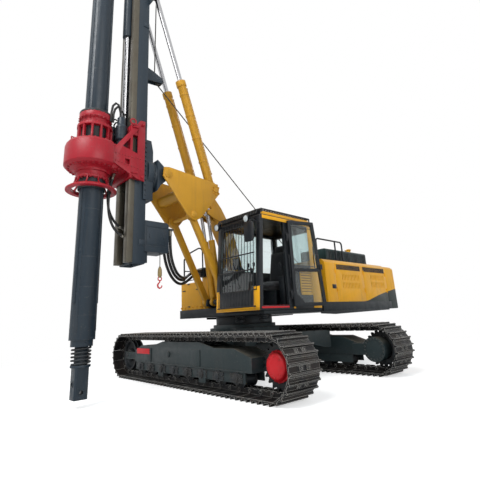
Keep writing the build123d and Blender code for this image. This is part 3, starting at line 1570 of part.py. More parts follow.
upper_nodes = {
    "deck": deck(),
    "linkage_stand": linkage_stand(),
    "counterweight": counterweight(),
    "engine_housing": engine_housing(),
    "right_housing": right_housing(),
    "engine_hood": engine_hood(),
    "engine_block": engine_block(),
    "tool_box": tool_box(),
    "fuel_tank": fuel_tank(),
    "exhaust": exhaust(),
    "handrails": handrails(),
    "winch_frame": winch_frame(),
    "winch_drum": winch_drum(),
    "cab_shell": cab_shell(),
    "cab_roof": cab_roof(),
    "cab_glass": cab_glass(),
    "cab_guard": cab_guard(),
    "door_glass": door_glass(),
    "cab_seat": cab_seat() + cab_controls(),
    "cab_door": cab_door(),
    "support_links": support_links(),
    "boom": boom(),
    "luff_barrels": luff_barrels(),
    "luff_rods": luff_rods(),
    "mast_frame": mast_frame(),
    "tilt_yokes": tilt_yokes(),
    "tilt_barrels": tilt_barrels(),
    "tilt_rods": tilt_rods(),
    "mast_cradle": mast_cradle(),
    "mast_mount": mast_mount(),
    "mast_beam": mast_beam(),
    "mast_rails": mast_rails(),
    "mast_brackets": tilt_bracket() + rope_bracket() + feed_bracket() + mast_service_box() + hose_landing(),
    "rope_sheave": rope_sheave(),
    "mast_head": mast_head(),
    "front_sheave": crown_sheave(sheave_front_x),
    "rear_sheave": crown_sheave(sheave_rear_x),
    "feed_barrel": feed_barrel(),
    "feed_rod": feed_rod(),
    "head_bracket": head_bracket(),
    "head_case": head_case(),
    "head_cage": head_cage(),
    "head_bell": head_bell(),
    "head_motors": head_motors(),
    "drive_sleeve": drive_sleeve(),
    "kelly_tube": kelly_tube(),
    "kelly_stub": kelly_stub(),
    "kelly_spring": kelly_spring(),
    "kelly_swivel": kelly_swivel(),
    "head_hose": hose("head_hose", head_hose_radius),
}
for name in mast_hoses:
    upper_nodes[name] = hose(name, mast_hose_radius)
for name, piece in upper_nodes.items():
    save(piece, name)
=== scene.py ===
import json
from math import acos, atan2, cos, pi, radians, sin
import bmesh
import bpy
from mathutils import Matrix, Vector
from mathutils.bvhtree import BVHTree


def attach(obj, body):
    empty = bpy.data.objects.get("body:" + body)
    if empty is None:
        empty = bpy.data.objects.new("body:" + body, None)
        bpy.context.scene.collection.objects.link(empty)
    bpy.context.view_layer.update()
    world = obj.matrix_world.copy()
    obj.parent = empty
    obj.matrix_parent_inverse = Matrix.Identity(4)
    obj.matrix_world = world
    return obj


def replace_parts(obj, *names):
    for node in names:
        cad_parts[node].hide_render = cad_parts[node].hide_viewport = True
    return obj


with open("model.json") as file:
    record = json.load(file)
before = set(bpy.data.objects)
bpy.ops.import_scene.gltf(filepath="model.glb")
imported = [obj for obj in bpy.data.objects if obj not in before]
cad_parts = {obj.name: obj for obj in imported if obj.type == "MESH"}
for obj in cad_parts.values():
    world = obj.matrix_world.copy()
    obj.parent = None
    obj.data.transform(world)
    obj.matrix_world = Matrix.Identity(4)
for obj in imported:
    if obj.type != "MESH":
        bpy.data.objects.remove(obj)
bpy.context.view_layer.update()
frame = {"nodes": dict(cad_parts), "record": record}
nodes = frame["nodes"]
print("frame loaded:", len(nodes), "nodes")


# Colours are written as sRGB hex, the shader wants linear
def linear(hexColour):
    channels = [int(hexColour[i:i + 2], 16) / 255 for i in (1, 3, 5)]
    return [((c + 0.055) / 1.055) ** 2.4 if c > 0.04045 else c / 12.92 for c in channels] + [1.0]


def addNode(tree, kind, inputs=None, **settings):
    # An input is a value, or the socket that feeds it
    node = tree.nodes.new(kind)
    for name, value in settings.items():
        setattr(node, name, value)
    for name, value in (inputs or {}).items():
        if isinstance(value, bpy.types.NodeSocket):
            tree.links.new(value, node.inputs[name])
        else:
            node.inputs[name].default_value = value
    return node


def newMaterial(name):
    material = bpy.data.materials.new(name)
    material.use_nodes = True
    tree = material.node_tree
    tree.nodes.clear()
    return material, tree, addNode(tree, "ShaderNodeTexCoord").outputs["Object"]


# What several materials share; each gives the socket that it ends in
def noise(tree, coords, scale, detail, roughness=0.5):
    return addNode(tree, "ShaderNodeTexNoise", {"Vector": coords, "Scale": scale, "Detail": detail,
                                                "Roughness": roughness}).outputs["Fac"]


def ranged(tree, value, low, high, toLow=0.0, toHigh=1.0):
    return addNode(tree, "ShaderNodeMapRange", {"Value": value, "From Min": low, "From Max": high,
                                                "To Min": toLow, "To Max": toHigh}).outputs[0]


def mathNode(tree, operation, one, two):
    return addNode(tree, "ShaderNodeMath", {0: one, 1: two}, operation=operation).outputs[0]


def mixed(tree, share, one, two):
    return addNode(tree, "ShaderNodeMix", {"Factor": share, "A": one, "B": two},
                   data_type="RGBA").outputs["Result"]


def flatness(tree, width):
    # 1 on a flat face and less within a width of an edge, where the bevelled normal turns
    rounded = addNode(tree, "ShaderNodeBevel", {"Radius": width}, samples=4).outputs[0]
    normal = addNode(tree, "ShaderNodeNewGeometry").outputs["Normal"]
    return addNode(tree, "ShaderNodeVectorMath", {0: rounded, 1: normal},
                   operation="DOT_PRODUCT").outputs["Value"]


def shaded(tree, inputs, height=None, strength=0.0, distance=0.002):
    if height is not None:
        inputs["Normal"] = addNode(tree, "ShaderNodeBump", {"Height": height, "Strength": strength,
                                                            "Distance": distance}).outputs[0]
    shader = addNode(tree, "ShaderNodeBsdfPrincipled", inputs)
    addNode(tree, "ShaderNodeOutputMaterial", {"Surface": shader.outputs[0]})


# Enamelled steel: flat colour with a slow drift in tone, worn corners, dust on faces that look up,
# streaks running down, and the fine orange peel of sprayed paint
def enamel(name, hexColour, rough=0.42, wear=0.5, dust=0.25, grime=0.25, coat=0.0):
    material, tree, coords = newMaterial(name)
    drift = ranged(tree, noise(tree, coords, 1.7, 5.0, 0.6), 0.3, 0.7, 0.92, 1.08)
    base = addNode(tree, "ShaderNodeRGB")
    base.outputs[0].default_value = linear(hexColour)
    toned = addNode(tree, "ShaderNodeVectorMath", {0: base.outputs[0], "Scale": drift}, operation="SCALE")
    # rain streaks: noise squeezed along Z, about 80 mm apart
    stretch = addNode(tree, "ShaderNodeMapping", {"Vector": coords, "Scale": (13.0, 13.0, 1.1)})
    streaks = ranged(tree, noise(tree, stretch.outputs[0], 1.0, 3.0), 0.5, 0.9, 0.0, grime)
    streaked = mixed(tree, streaks, toned.outputs[0], [0.06, 0.055, 0.05, 1.0])
    # corners rubbed to primer, in chips of some 40 mm
    whole = mathNode(tree, "ADD", flatness(tree, 0.007), 0.11)
    rubbed = mathNode(tree, "SUBTRACT", whole, noise(tree, coords, 26.0, 4.0, 0.7))
    worn = mixed(tree, ranged(tree, rubbed, 0.5, 0.36, 0.0, wear), streaked, linear("#6e6a64"))
    # settled dust
    normal = addNode(tree, "ShaderNodeNewGeometry").outputs["Normal"]
    facing = addNode(tree, "ShaderNodeSeparateXYZ", {0: normal})
    patches = noise(tree, coords, 6.0, 6.0, 0.65)
    settled = mathNode(tree, "MULTIPLY", ranged(tree, facing.outputs["Z"], 0.35, 0.95),
                   ranged(tree, patches, 0.32, 0.68, 0.25, 1.0))
    dusty = mixed(tree, mathNode(tree, "MULTIPLY", settled, dust), worn, linear("#a89a84"))
    # orange peel drawn at 9 mm so that it shows
    gloss = ranged(tree, patches, 0.3, 0.7, rough - 0.06, rough + 0.14)
    shaded(tree, {"Base Color": dusty, "Roughness": gloss, "Coat Weight": coat, "Coat Roughness": 0.12,
                  "Specular IOR Level": 0.35}, noise(tree, coords, 110.0, 2.0), 0.05)
    return material


# Bare or cast metal: a metal's own colour, darker in its pores, with brightened edges
def bareMetal(name, hexColour, rough=0.35, grain=60.0, bump=0.15, edgeHex="#b9b6ae", edge=0.5,
              soil=0.3, metallic=1.0, wearWidth=0.006):
    material, tree, coords = newMaterial(name)
    blotch = noise(tree, coords, 5.0, 6.0, 0.6)
    soiled = mixed(tree, ranged(tree, blotch, 0.4, 0.7, 0.0, soil), linear(hexColour), linear("#4a3d30"))
    bright = ranged(tree, flatness(tree, wearWidth), 0.97, 0.8, 0.0, edge)
    gloss = ranged(tree, blotch, 0.3, 0.7, rough - 0.08, rough + 0.18)
    shaded(tree, {"Base Color": mixed(tree, bright, soiled, linear(edgeHex)), "Roughness": gloss,
                  "Metallic": metallic}, noise(tree, coords, grain, 6.0, 0.6), bump)
    return material


# Glass: clear laminated sheet with a faint green tint and a dust haze in its gloss
def laminatedGlass(name, hexColour):
    material, tree, coords = newMaterial(name)
    haze = ranged(tree, noise(tree, coords, 4.0, 6.0), 0.35, 0.75, 0.0, 0.02)
    shaded(tree, {"Base Color": linear(hexColour), "IOR": 1.5, "Transmission Weight": 1.0, "Roughness": haze})
    return material


# Panels in two coats: yellow above a line that climbs towards the rear, grey skirt below it
def sweptPanels(name, upperHex, lowerHex):
    sweep = {"from": -3.951, "to": -0.877, "low": 1.2, "high": 1.7, "soft": 0.002,
             "points": ((-3.951, 1.612), (-3.395, 1.52), (-2.972, 1.443), (-2.67, 1.375),
                        (-2.338, 1.306), (-1.636, 1.274), (-0.877, 1.247))}
    material = enamel(name, upperHex, rough=0.33, wear=0.25, dust=0.2, grime=0.22)
    tree = material.node_tree
    coords = addNode(tree, "ShaderNodeTexCoord").outputs["Object"]
    split = addNode(tree, "ShaderNodeSeparateXYZ", {0: coords})
    line = addNode(tree, "ShaderNodeFloatCurve",
                   {"Value": ranged(tree, split.outputs["X"], sweep["from"], sweep["to"])})
    curve = line.mapping.curves[0]
    spots = [((x - sweep["from"]) / (sweep["to"] - sweep["from"]),
              (z - sweep["low"]) / (sweep["high"] - sweep["low"])) for x, z in sweep["points"]]
    curve.points[0].location = spots[0]
    curve.points[1].location = spots[-1]
    for spot in spots[1:-1]:
        curve.points.new(*spot)
    line.mapping.update()
    height = ranged(tree, line.outputs[0], 0.0, 1.0, sweep["low"], sweep["high"])
    over = mathNode(tree, "SUBTRACT", split.outputs["Z"], height)
    coat = mixed(tree, ranged(tree, over, -sweep["soft"], sweep["soft"]), linear(lowerHex), linear(upperHex))
    base = next(node for node in tree.nodes if node.bl_idname == "ShaderNodeRGB")
    for link in list(base.outputs[0].links):
        tree.links.new(coat, link.to_socket)
    tree.nodes.remove(base)
    return material


# Moulded rubber: dull black with a fine wrapped texture, dusty in places
def mouldedRubber(name, hexColour):
    material, tree, coords = newMaterial(name)
    dust = ranged(tree, noise(tree, coords, 9.0, 5.0), 0.45, 0.75, 0.0, 0.35)
    shaded(tree, {"Base Color": mixed(tree, dust, linear(hexColour), linear("#5d5850")), "Roughness": 0.62},
           noise(tree, coords, 260.0, 2.0), 0.25, 0.001)
    return material


# Laid steel rope: greased grey strands, drawn as slanted bands 12 mm apart
def laidRope(name, hexColour):
    material, tree, coords = newMaterial(name)
    lay = addNode(tree, "ShaderNodeMapping", {"Vector": coords, "Rotation": (0.5, 0.7, 0.0)})
    strands = addNode(tree, "ShaderNodeTexWave",
                      {"Vector": lay.outputs[0], "Scale": 26.0, "Distortion": 0.0}).outputs["Fac"]
    shaded(tree, {"Base Color": mixed(tree, strands, linear("#26241f"), linear(hexColour)), "Metallic": 0.6,
                  "Roughness": 0.45}, strands, 0.6)
    return material


# Woven seat cloth: crossing threads drawn 6 mm apart so that they show
def seatCloth(name, hexColour):
    material, tree, coords = newMaterial(name)
    threads = [addNode(tree, "ShaderNodeTexWave", {"Vector": coords, "Scale": 52.0, "Distortion": 1.0},
                       bands_direction=way).outputs["Fac"] for way in "YZ"]
    woven = mathNode(tree, "MULTIPLY", *threads)
    shaded(tree, {"Base Color": mixed(tree, woven, linear("#17181a"), linear(hexColour)), "Roughness": 0.85,
                  "Sheen Weight": 0.3}, woven, 0.3, 0.001)
    return material


materials = {
    "headRed": enamel("headRedEnamel", "#a51526", rough=0.36, wear=0.3, dust=0.1, grime=0.18),
    "signalRed": enamel("driveCoverRedEnamel", "#d41c26", rough=0.38, wear=0.3, dust=0.12),
    "panelYellow": enamel("panelYellowEnamel", "#f2ae1c", rough=0.33, wear=0.25, dust=0.15, grime=0.12),
    "boomGold": enamel("boomGoldEnamel", "#cc9526", rough=0.38, wear=0.35, dust=0.2, grime=0.22),
    "mastSlate": enamel("mastSlateEnamel", "#28343e", rough=0.38, wear=0.35, dust=0.15, grime=0.25),
    "kellySlate": enamel("kellySlateEnamel", "#25313b", rough=0.32, wear=0.35, dust=0.1, grime=0.4),
    "frameGrey": enamel("frameGreyEnamel", "#263133", rough=0.42, wear=0.5, dust=0.3, grime=0.3),
    "deckBlack": enamel("deckBlackEnamel", "#121b20", rough=0.44, wear=0.4, dust=0.2),
    "hoodTeal": enamel("hoodTealEnamel", "#1d3535", rough=0.42, wear=0.3, dust=0.2),
    "cabBlack": enamel("cabBlackEnamel", "#14191e", rough=0.36, wear=0.4, dust=0.15),
    "castGrey": bareMetal("castIronGrey", "#272c30", rough=0.5, soil=0.3, edge=0.4, metallic=0.4),
    "trackSteel": bareMetal("trackShoeSteel", "#1b1c1f", wearWidth=0.012, rough=0.44, soil=0.35,
                            edgeHex="#c2c0ba", edge=0.9, metallic=0.6),
    "railSteel": bareMetal("groundRailSteel", "#615c50", rough=0.34, grain=18.0, bump=0.05, soil=0.35,
                           edge=0.3, metallic=0.5),
    "chrome": bareMetal("hardChrome", "#b4b4b6", rough=0.2, grain=14.0, bump=0.01, soil=0.05, edge=0.1),
    "glass": laminatedGlass("cabGlass", "#dfeaea"),
    "housingPanels": sweptPanels("housingTwoCoatEnamel", "#f2ae1c", "#343b38"),
    "boltZinc": bareMetal("zincPlatedSteel", "#8b887e", rough=0.42, grain=40.0, bump=0.08, soil=0.45,
                          edge=0.3),
    "tanCast": bareMetal("tanPaintedCasting", "#a08a5c", rough=0.5, soil=0.35, edge=0.3, metallic=0.1),
    "lampLens": enamel("clearLampLens", "#cfd8da", rough=0.14, wear=0.0, dust=0.1, grime=0.05, coat=0.5),
    "hoseRubber": mouldedRubber("hydraulicHoseRubber", "#17181a"),
    "wireRope": laidRope("greasedWireRope", "#57534a"),
    "seatCloth": seatCloth("wovenSeatCloth", "#44474d"),
}
print("materials made:", len(materials))


def placed(name, data):
    thing = bpy.data.objects.new(name, data)
    bpy.context.scene.collection.objects.link(thing)
    return thing


def photoCamera():
    # Where the photograph was taken from, turned from slew centre, in metres and degrees
    view = {"place": (5.317, 5.616, 1.065), "heading": -133.62, "climb": 15.72, "roll": -2.97,
            "lens": 27.65, "rise": -0.0523}
    heading, climb, roll = radians(view["heading"]), radians(view["climb"]), radians(view["roll"])
    ahead = Vector((cos(heading) * cos(climb), sin(heading) * cos(climb), sin(climb)))
    side = ahead.cross(Vector((0, 0, 1))).normalized()
    over = side.cross(ahead)
    right = side * cos(roll) + over * sin(roll)
    up = over * cos(roll) - side * sin(roll)
    lens = bpy.data.cameras.new("photoCamera")
    lens.lens = view["lens"]
    lens.sensor_width = 36.0
    lens.shift_y = view["rise"]
    lens.clip_end = 200.0
    camera = placed("photoCamera", lens)
    turn = Matrix((right, up, -ahead)).transposed().to_4x4()
    camera.matrix_world = Matrix.Translation(view["place"]) @ turn
    bpy.context.scene.camera = camera


photoCamera()


# Mesh work: a piece sits at the origin and carries its place in its mesh
def shadeSmooth(mesh, sharp):
    mesh.polygons.foreach_set("use_smooth", [True] * len(mesh.polygons))
    mesh.set_sharp_from_angle(angle=radians(sharp))


def newPiece(name, mesh, material, body, edge=0.0):
    piece = placed(name, mesh)
    if not mesh.materials:
        mesh.materials.append(material)
    shadeSmooth(mesh, 35)
    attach(piece, body)
    if edge:
        softenEdges(piece, edge)
    return piece


def plainMesh(piece):
    # What the modifiers make of the piece
    graph = bpy.context.evaluated_depsgraph_get()
    return bpy.data.meshes.new_from_object(piece.evaluated_get(graph))


def softenEdges(piece, width):
    bevel = piece.modifiers.new("edge", "BEVEL")
    bevel.width = width
    bevel.segments = 2
    bevel.limit_method = "ANGLE"
    bevel.angle_limit = radians(32)
    bevel.harden_normals = False
    mesh = plainMesh(piece)
    piece.modifiers.clear()
    piece.data = mesh
    shadeSmooth(mesh, 40)


def nodeCopy(name):
    # The node's loose triangles, merged and with flat areas joined up
    source = nodes[name].data
    mesh = bpy.data.meshes.new(name + "Copy")
    mesh.from_pydata([v.co.copy() for v in source.vertices], [], [list(p.vertices) for p in source.polygons])
    work = bmesh.new()
    work.from_mesh(mesh)
    bmesh.ops.remove_doubles(work, verts=work.verts, dist=0.0001)
    bmesh.ops.dissolve_limit(work, angle_limit=radians(0.5), verts=work.verts, edges=work.edges)
    work.to_mesh(mesh)
    work.free()
    return mesh


def bodyOf(node):
    for body, members in frame["record"]["behaviour"]["bodies"].items():
        if node in members:
            return body


def dress(node, finish, edge):
    piece = newPiece(node + "Dressed", nodeCopy(node), materials[finish], bodyOf(node), edge)
    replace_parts(piece, node)


# Parts of a piece are added to one bmesh, in metres and in place
def addBox(work, low, high):
    corners = [work.verts.new((x, y, z)) for x in (low[0], high[0]) for y in (low[1], high[1])
               for z in (low[2], high[2])]
    for quad in ((0, 1, 3, 2), (4, 6, 7, 5), (0, 4, 5, 1), (2, 3, 7, 6), (0, 2, 6, 4), (1, 5, 7, 3)):
        work.faces.new([corners[i] for i in quad])


def addPrism(work, outline, axis, start, stop):
    # The outline's two numbers are the other two axes in their order
    slot = "xyz".index(axis)
    rings = [[work.verts.new((*spot[:slot], at, *spot[slot:])) for spot in outline] for at in (start, stop)]
    count = len(outline)
    for i in range(count):
        work.faces.new([rings[0][i], rings[0][(i + 1) % count], rings[1][(i + 1) % count], rings[1][i]])
    work.faces.new(rings[0])
    work.faces.new(rings[1])


def circle(centre, one, other, radius, steps):
    return [centre + (one * cos(2 * pi * k / steps) + other * sin(2 * pi * k / steps)) * radius
            for k in range(steps)]


def addTube(work, points, radius, sides=8):
    # A round bar through the points, with closed ends
    path = [Vector(point) for point in points]
    rings = []
    side = None
    for i, point in enumerate(path):
        ahead = (path[min(i + 1, len(path) - 1)] - path[max(i - 1, 0)]).normalized()
        side = ahead.orthogonal() if side is None else side - ahead * side.dot(ahead)
        side.normalize()
        rings.append([work.verts.new(spot) for spot in circle(point, side, ahead.cross(side), radius, sides)])
    for one, two in zip(rings, rings[1:]):
        for k in range(sides):
            work.faces.new([one[k], one[(k + 1) % sides], two[(k + 1) % sides], two[k]])
    work.faces.new(rings[0])
    work.faces.new(rings[-1])


def addTurned(work, rows, place, ahead, steps=24):
    # Rows of (radius, along) turned about a line through place; a radius of 0 closes an end
    ahead = Vector(ahead).normalized()
    side = ahead.orthogonal().normalized()
    rings = []
    for radius, along in rows:
        centre = Vector(place) + ahead * along
        if radius == 0:
            rings.append([work.verts.new(centre)] * steps)
        else:
            spots = circle(centre, side, ahead.cross(side), radius, steps)
            rings.append([work.verts.new(spot) for spot in spots])
    for one, two in zip(rings, rings[1:]):
        for k in range(steps):
            corners = []
            for vert in (one[k], one[(k + 1) % steps], two[(k + 1) % steps], two[k]):
                if vert not in corners:
                    corners.append(vert)
            if len(corners) > 2:
                work.faces.new(corners)


def addRing(work, inner, outer, low, high, place, ahead, steps=32):
    rows = [(inner, low), (outer, low), (outer, high), (inner, high), (inner, low)]
    addTurned(work, rows, place, ahead, steps)


def peg(radius, low, high, crown=0.0):
    # The rows of a plain round or six-sided head, with its middle raised by the crown
    return [(0, low), (radius, low), (radius, high), (0, high + crown)]


def grown(name, work, finish, body, edge=0.0, turn=None):
    bmesh.ops.remove_doubles(work, verts=work.verts, dist=0.00001)
    mesh = meshOf(name, work)
    if turn:
        mesh.transform(turn)
    return newPiece(name, mesh, materials[finish], body, edge)


def meshOf(name, work):
    bmesh.ops.recalc_face_normals(work, faces=work.faces)
    mesh = bpy.data.meshes.new(name)
    work.to_mesh(mesh)
    work.free()
    return mesh


# Hoses come first: a route's points are the control points of one NURBS spline
def hoseAlong(name, points, diameter, finish):
    curve = bpy.data.curves.new(name, "CURVE")
    curve.dimensions = "3D"
    curve.bevel_depth = diameter / 2
    curve.bevel_resolution = 5
    curve.resolution_u = 10
    curve.use_fill_caps = True
    spline = curve.splines.new("NURBS")
    spline.points.add(len(points) - 1)
    for point, place in zip(spline.points, points):
        point.co = (*place, 1.0)
    spline.order_u = 3
    spline.use_endpoint_u = True
    curve.materials.append(materials[finish])
    return placed(name, curve)


hoses = {
    "mast_hose_near": {"body": "upper", "diameter": 0.052, "length": 1.85, "route": [
        (1.84, 0.15, 2.62), (1.84, 0.15, 2.38), (1.79, 0.11, 2.15), (1.66, 0.02, 1.97),
        (1.47, -0.12, 1.87), (1.25, -0.28, 1.86), (1.06, -0.43, 1.93), (0.89, -0.44, 2.035),
        (0.72, -0.44, 2.06)]},
    "mast_hose_middle": {"body": "upper", "diameter": 0.052, "length": 1.868, "route": [
        (1.835, 0.045, 2.62), (1.835, 0.04, 2.37), (1.775, 0.000, 2.12), (1.63, -0.09, 1.925),
        (1.43, -0.22, 1.83), (1.215, -0.37, 1.83), (1.045, -0.51, 1.91), (0.88, -0.525, 2.03),
        (0.72, -0.525, 2.06)]},
    "mast_hose_far": {"body": "upper", "diameter": 0.052, "length": 1.848, "route": [
        (1.84, -0.06, 2.62), (1.84, -0.07, 2.35), (1.765, -0.11, 2.075), (1.6, -0.19, 1.86),
        (1.385, -0.3, 1.755), (1.17, -0.42, 1.77), (1.01, -0.478, 1.86), (0.87, -0.482, 1.965),
        (0.72, -0.482, 1.98)]},
    "head_hose": {"body": "rotary_head", "diameter": 0.032, "length": 1.165, "route": [
        (2.89, 0.03, 3.455), (2.918, 0.03, 3.3), (2.938, 0.03, 3.14), (2.942, 0.029, 2.975),
        (2.922, 0.028, 2.815), (2.878, 0.026, 2.67), (2.805, 0.025, 2.55), (2.712, 0.025, 2.475),
        (2.61, 0.025, 2.43)]},
    # two more hoses of the bundle at the head, which the CAD doesn't have
    "headHoseNear": {"body": "rotary_head", "diameter": 0.042, "length": 1.22, "route": [
        (2.9, 0.11, 3.455), (2.935, 0.11, 3.3), (2.962, 0.108, 3.13), (2.968, 0.104, 2.95),
        (2.948, 0.098, 2.78), (2.898, 0.092, 2.63), (2.815, 0.086, 2.515), (2.715, 0.082, 2.45),
        (2.62, 0.08, 2.43)]},
    "headHoseFar": {"body": "rotary_head", "diameter": 0.042, "length": 1.00, "route": [
        (2.88, -0.05, 3.455), (2.9, -0.05, 3.32), (2.914, -0.05, 3.18), (2.912, -0.051, 3.03),
        (2.886, -0.052, 2.89), (2.836, -0.053, 2.78), (2.768, -0.054, 2.69), (2.69, -0.055, 2.63),
        (2.615, -0.055, 2.605)]},
}
hookRope = {"body": "mast", "diameter": 0.014, "x": 2.01, "y": 0.1, "top": 2.212, "low": 1.967}


def makeHoses():
    for name, facts in hoses.items():
        route, diameter = facts["route"], facts["diameter"]
        hose = hoseAlong(name + "Hose" if name in nodes else name, route, diameter, "hoseRubber")
        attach(hose, facts["body"])
        if name in nodes:
            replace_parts(hose, name)


# Hook on its short taut rope below the mast's foot: swivel block, shackle and a hook of three bars
def makeHookRope():
    x, y, low, body = hookRope["x"], hookRope["y"], hookRope["low"], hookRope["body"]
    line = bmesh.new()
    addTube(line, [(x, y, hookRope["top"]), (x, y, low)], hookRope["diameter"] / 2, 12)
    grown("hookRopeLine", line, "wireRope", body)
    block = bmesh.new()
    addTurned(block, [(0, 0.02), (0.016, 0.02), (0.022, 0.0), (0.032, -0.02), (0.036, -0.075), (0.036, -0.13),
                      (0.028, -0.15), (0.016, -0.165), (0, -0.165)], (x, y, low), (0, 0, 1), 24)
    grown("hookSwivel", block, "tanCast", body)
    work = bmesh.new()
    shackle = [(0, -0.217), (0.03, -0.205), (0.034, -0.175), (0.02, -0.151), (-0.02, -0.151),
               (-0.034, -0.175), (-0.03, -0.205), (0, -0.217)]
    hook = [(0, -0.205), (0, -0.24), (0.022, -0.26), (0.04, -0.29), (0.03, -0.327), (0, -0.343),
            (-0.032, -0.327), (-0.044, -0.295)]
    for outline, thick in ((shackle, 0.0095), (hook[:3], 0.011), (hook[2:6], 0.014), (hook[5:], 0.01)):
        addTube(work, [(x + a, y, low + z) for a, z in outline], thick)
    grown("hookAndShackle", work, "signalRed", body)


# Steel ferrules crimped on the hoses' ends: radii in shares of the hose's own
def hoseFerrules():
    ferrule = [(0, -0.012), (1.35, -0.012), (1.35, 0.016), (1.1, 0.02), (1.18, 0.024), (1.18, 0.085),
               (1.02, 0.092), (0, 0.092)]
    for name, facts in hoses.items():
        work = bmesh.new()
        rows = [(share * facts["diameter"] / 2, along) for share, along in ferrule]
        route = [Vector(point) for point in facts["route"]]
        for end, inner in ((route[0], route[1]), (route[-1], route[-2])):
            addTurned(work, rows, end, inner - end, 20)
        grown(name + "Ferrules", work, "boltZinc", facts["body"])


makeHoses()
makeHookRope()
hoseFerrules()
print("hoses and hook rope made")


# Which finish and how wide an edge radius each carried-over node gets, in metres
dressing = {
    "track_frames": ("frameGrey", 0.008), "drive_covers": ("signalRed", 0.012),
    "track_rollers": ("castGrey", 0.004), "car_body": ("frameGrey", 0.012),
    "slew_ring": ("castGrey", 0.004), "deck": ("deckBlack", 0.006), "linkage_stand": ("deckBlack", 0.006),
    "counterweight": ("housingPanels", 0.02), "engine_housing": ("housingPanels", 0.014),
    "right_housing": ("housingPanels", 0.014), "engine_hood": ("hoodTeal", 0.012),
    "engine_block": ("castGrey", 0.01), "tool_box": ("panelYellow", 0.01),
    "fuel_tank": ("deckBlack", 0.01), "exhaust": ("castGrey", 0.003), "handrails": ("cabBlack", 0),
    "winch_frame": ("deckBlack", 0.006), "winch_drum": ("castGrey", 0.005),
    "cab_shell": ("cabBlack", 0.01), "cab_roof": ("panelYellow", 0.02), "cab_door": ("cabBlack", 0.006),
    "support_links": ("boomGold", 0.006), "boom": ("boomGold", 0.008), "luff_barrels": ("boomGold", 0.004),
    "luff_rods": ("chrome", 0.003), "mast_frame": ("boomGold", 0.006), "tilt_yokes": ("boomGold", 0.004),
    "tilt_barrels": ("boomGold", 0.005), "tilt_rods": ("chrome", 0.003),
    "mast_cradle": ("mastSlate", 0.01), "mast_mount": ("mastSlate", 0.008),
    "mast_beam": ("mastSlate", 0.008), "mast_rails": ("railSteel", 0.005),
    "mast_brackets": ("mastSlate", 0.005), "mast_head": ("mastSlate", 0.005),
    "feed_barrel": ("mastSlate", 0.004), "rope_sheave": ("castGrey", 0.004),
    "front_sheave": ("castGrey", 0.006), "rear_sheave": ("castGrey", 0.006), "feed_rod": ("chrome", 0.003),
    "head_bracket": ("headRed", 0.006), "head_case": ("headRed", 0.012), "head_cage": ("headRed", 0.005),
    "head_bell": ("headRed", 0.005), "head_motors": ("kellySlate", 0.006),
    "drive_sleeve": ("castGrey", 0.004), "kelly_tube": ("kellySlate", 0.006),
    "kelly_stub": ("kellySlate", 0.005), "kelly_spring": ("castGrey", 0),
    "kelly_swivel": ("castGrey", 0.005), "cab_glass": ("glass", 0), "door_glass": ("glass", 0),
}


# Geometry Nodes: one part set on points, or at even steps along a path, with its Z along each "outward"
def repeatTree(name, onPath, pivot):
    tree = bpy.data.node_groups.new(name, "GeometryNodeTree")
    for title, kind in (("Points", "Geometry"), ("Part", "Object"), ("Size", "Float"), ("Count", "Int"),
                        ("Finish", "Material")):
        tree.interface.new_socket(title, in_out="INPUT", socket_type="NodeSocket" + kind)
    tree.interface.new_socket("Repeated", in_out="OUTPUT", socket_type="NodeSocketGeometry")
    given = addNode(tree, "NodeGroupInput")
    points = given.outputs["Points"]
    if onPath:
        curve = addNode(tree, "GeometryNodeMeshToCurve", {"Mesh": points})
        points = addNode(tree, "GeometryNodeResampleCurve",
                         {"Curve": curve.outputs[0], "Count": given.outputs["Count"]}).outputs[0]
    outward = addNode(tree, "GeometryNodeInputNamedAttribute", {"Name": "outward"}, data_type="FLOAT_VECTOR")
    turned = addNode(tree, "FunctionNodeAlignRotationToVector", {"Vector": outward.outputs["Attribute"]},
                     axis="Z", pivot_axis=pivot)
    part = addNode(tree, "GeometryNodeObjectInfo", {"Object": given.outputs["Part"]})
    copies = addNode(tree, "GeometryNodeInstanceOnPoints",
                     {"Points": points, "Instance": part.outputs["Geometry"], "Rotation": turned.outputs[0],
                      "Scale": given.outputs["Size"]})
    real = addNode(tree, "GeometryNodeRealizeInstances", {"Geometry": copies.outputs[0]})
    finish = addNode(tree, "GeometryNodeSetMaterial",
                     {"Geometry": real.outputs[0], "Material": given.outputs["Finish"]})
    addNode(tree, "NodeGroupOutput", {"Repeated": finish.outputs[0]})
    return tree


trees = {
    "points": repeatTree("partOnPoints", False, "AUTO"),
    "trackPath": repeatTree("partAlongTrack", True, "Y"),
    "edgePath": repeatTree("partAlongEdge", True, "X"),
}


def repeated(name, treeName, rows, shape, finish, body, size=1.0, count=0, turn=None):
    # rows are (place, outward) and shape is the mesh that is repeated; only the track's path is closed
    mesh = bpy.data.meshes.new(name + "Path")
    edges = []
    if treeName != "points":
        edges = [(i, i + 1) for i in range(len(rows) - 1)]
    if treeName == "trackPath":
        edges.append((len(rows) - 1, 0))
    mesh.from_pydata([row[0] for row in rows], edges, [])
    outward = mesh.attributes.new("outward", "FLOAT_VECTOR", "POINT")
    for i, row in enumerate(rows):
        outward.data[i].vector = row[1]
    part = placed(name + "Part", shape)
    host = placed(name + "Host", mesh)
    modifier = host.modifiers.new("repeat", "NODES")
    modifier.node_group = trees[treeName]
    values = {"Part": part, "Size": size, "Count": count, "Finish": materials[finish]}
    for item in trees[treeName].interface.items_tree:
        if item.name in values:
            modifier[item.identifier] = values[item.name]
    made = plainMesh(host)
    for spent in (host, part):
        bpy.data.objects.remove(spent)
    if turn:
        made.transform(turn)
    made.name = name
    if not made.materials:
        made.materials.append(materials[finish])
    return newPiece(name, made, materials[finish], body)


for node, (finish, edge) in dressing.items():
    dress(node, finish, edge)
print("nodes dressed:", len(dressing))


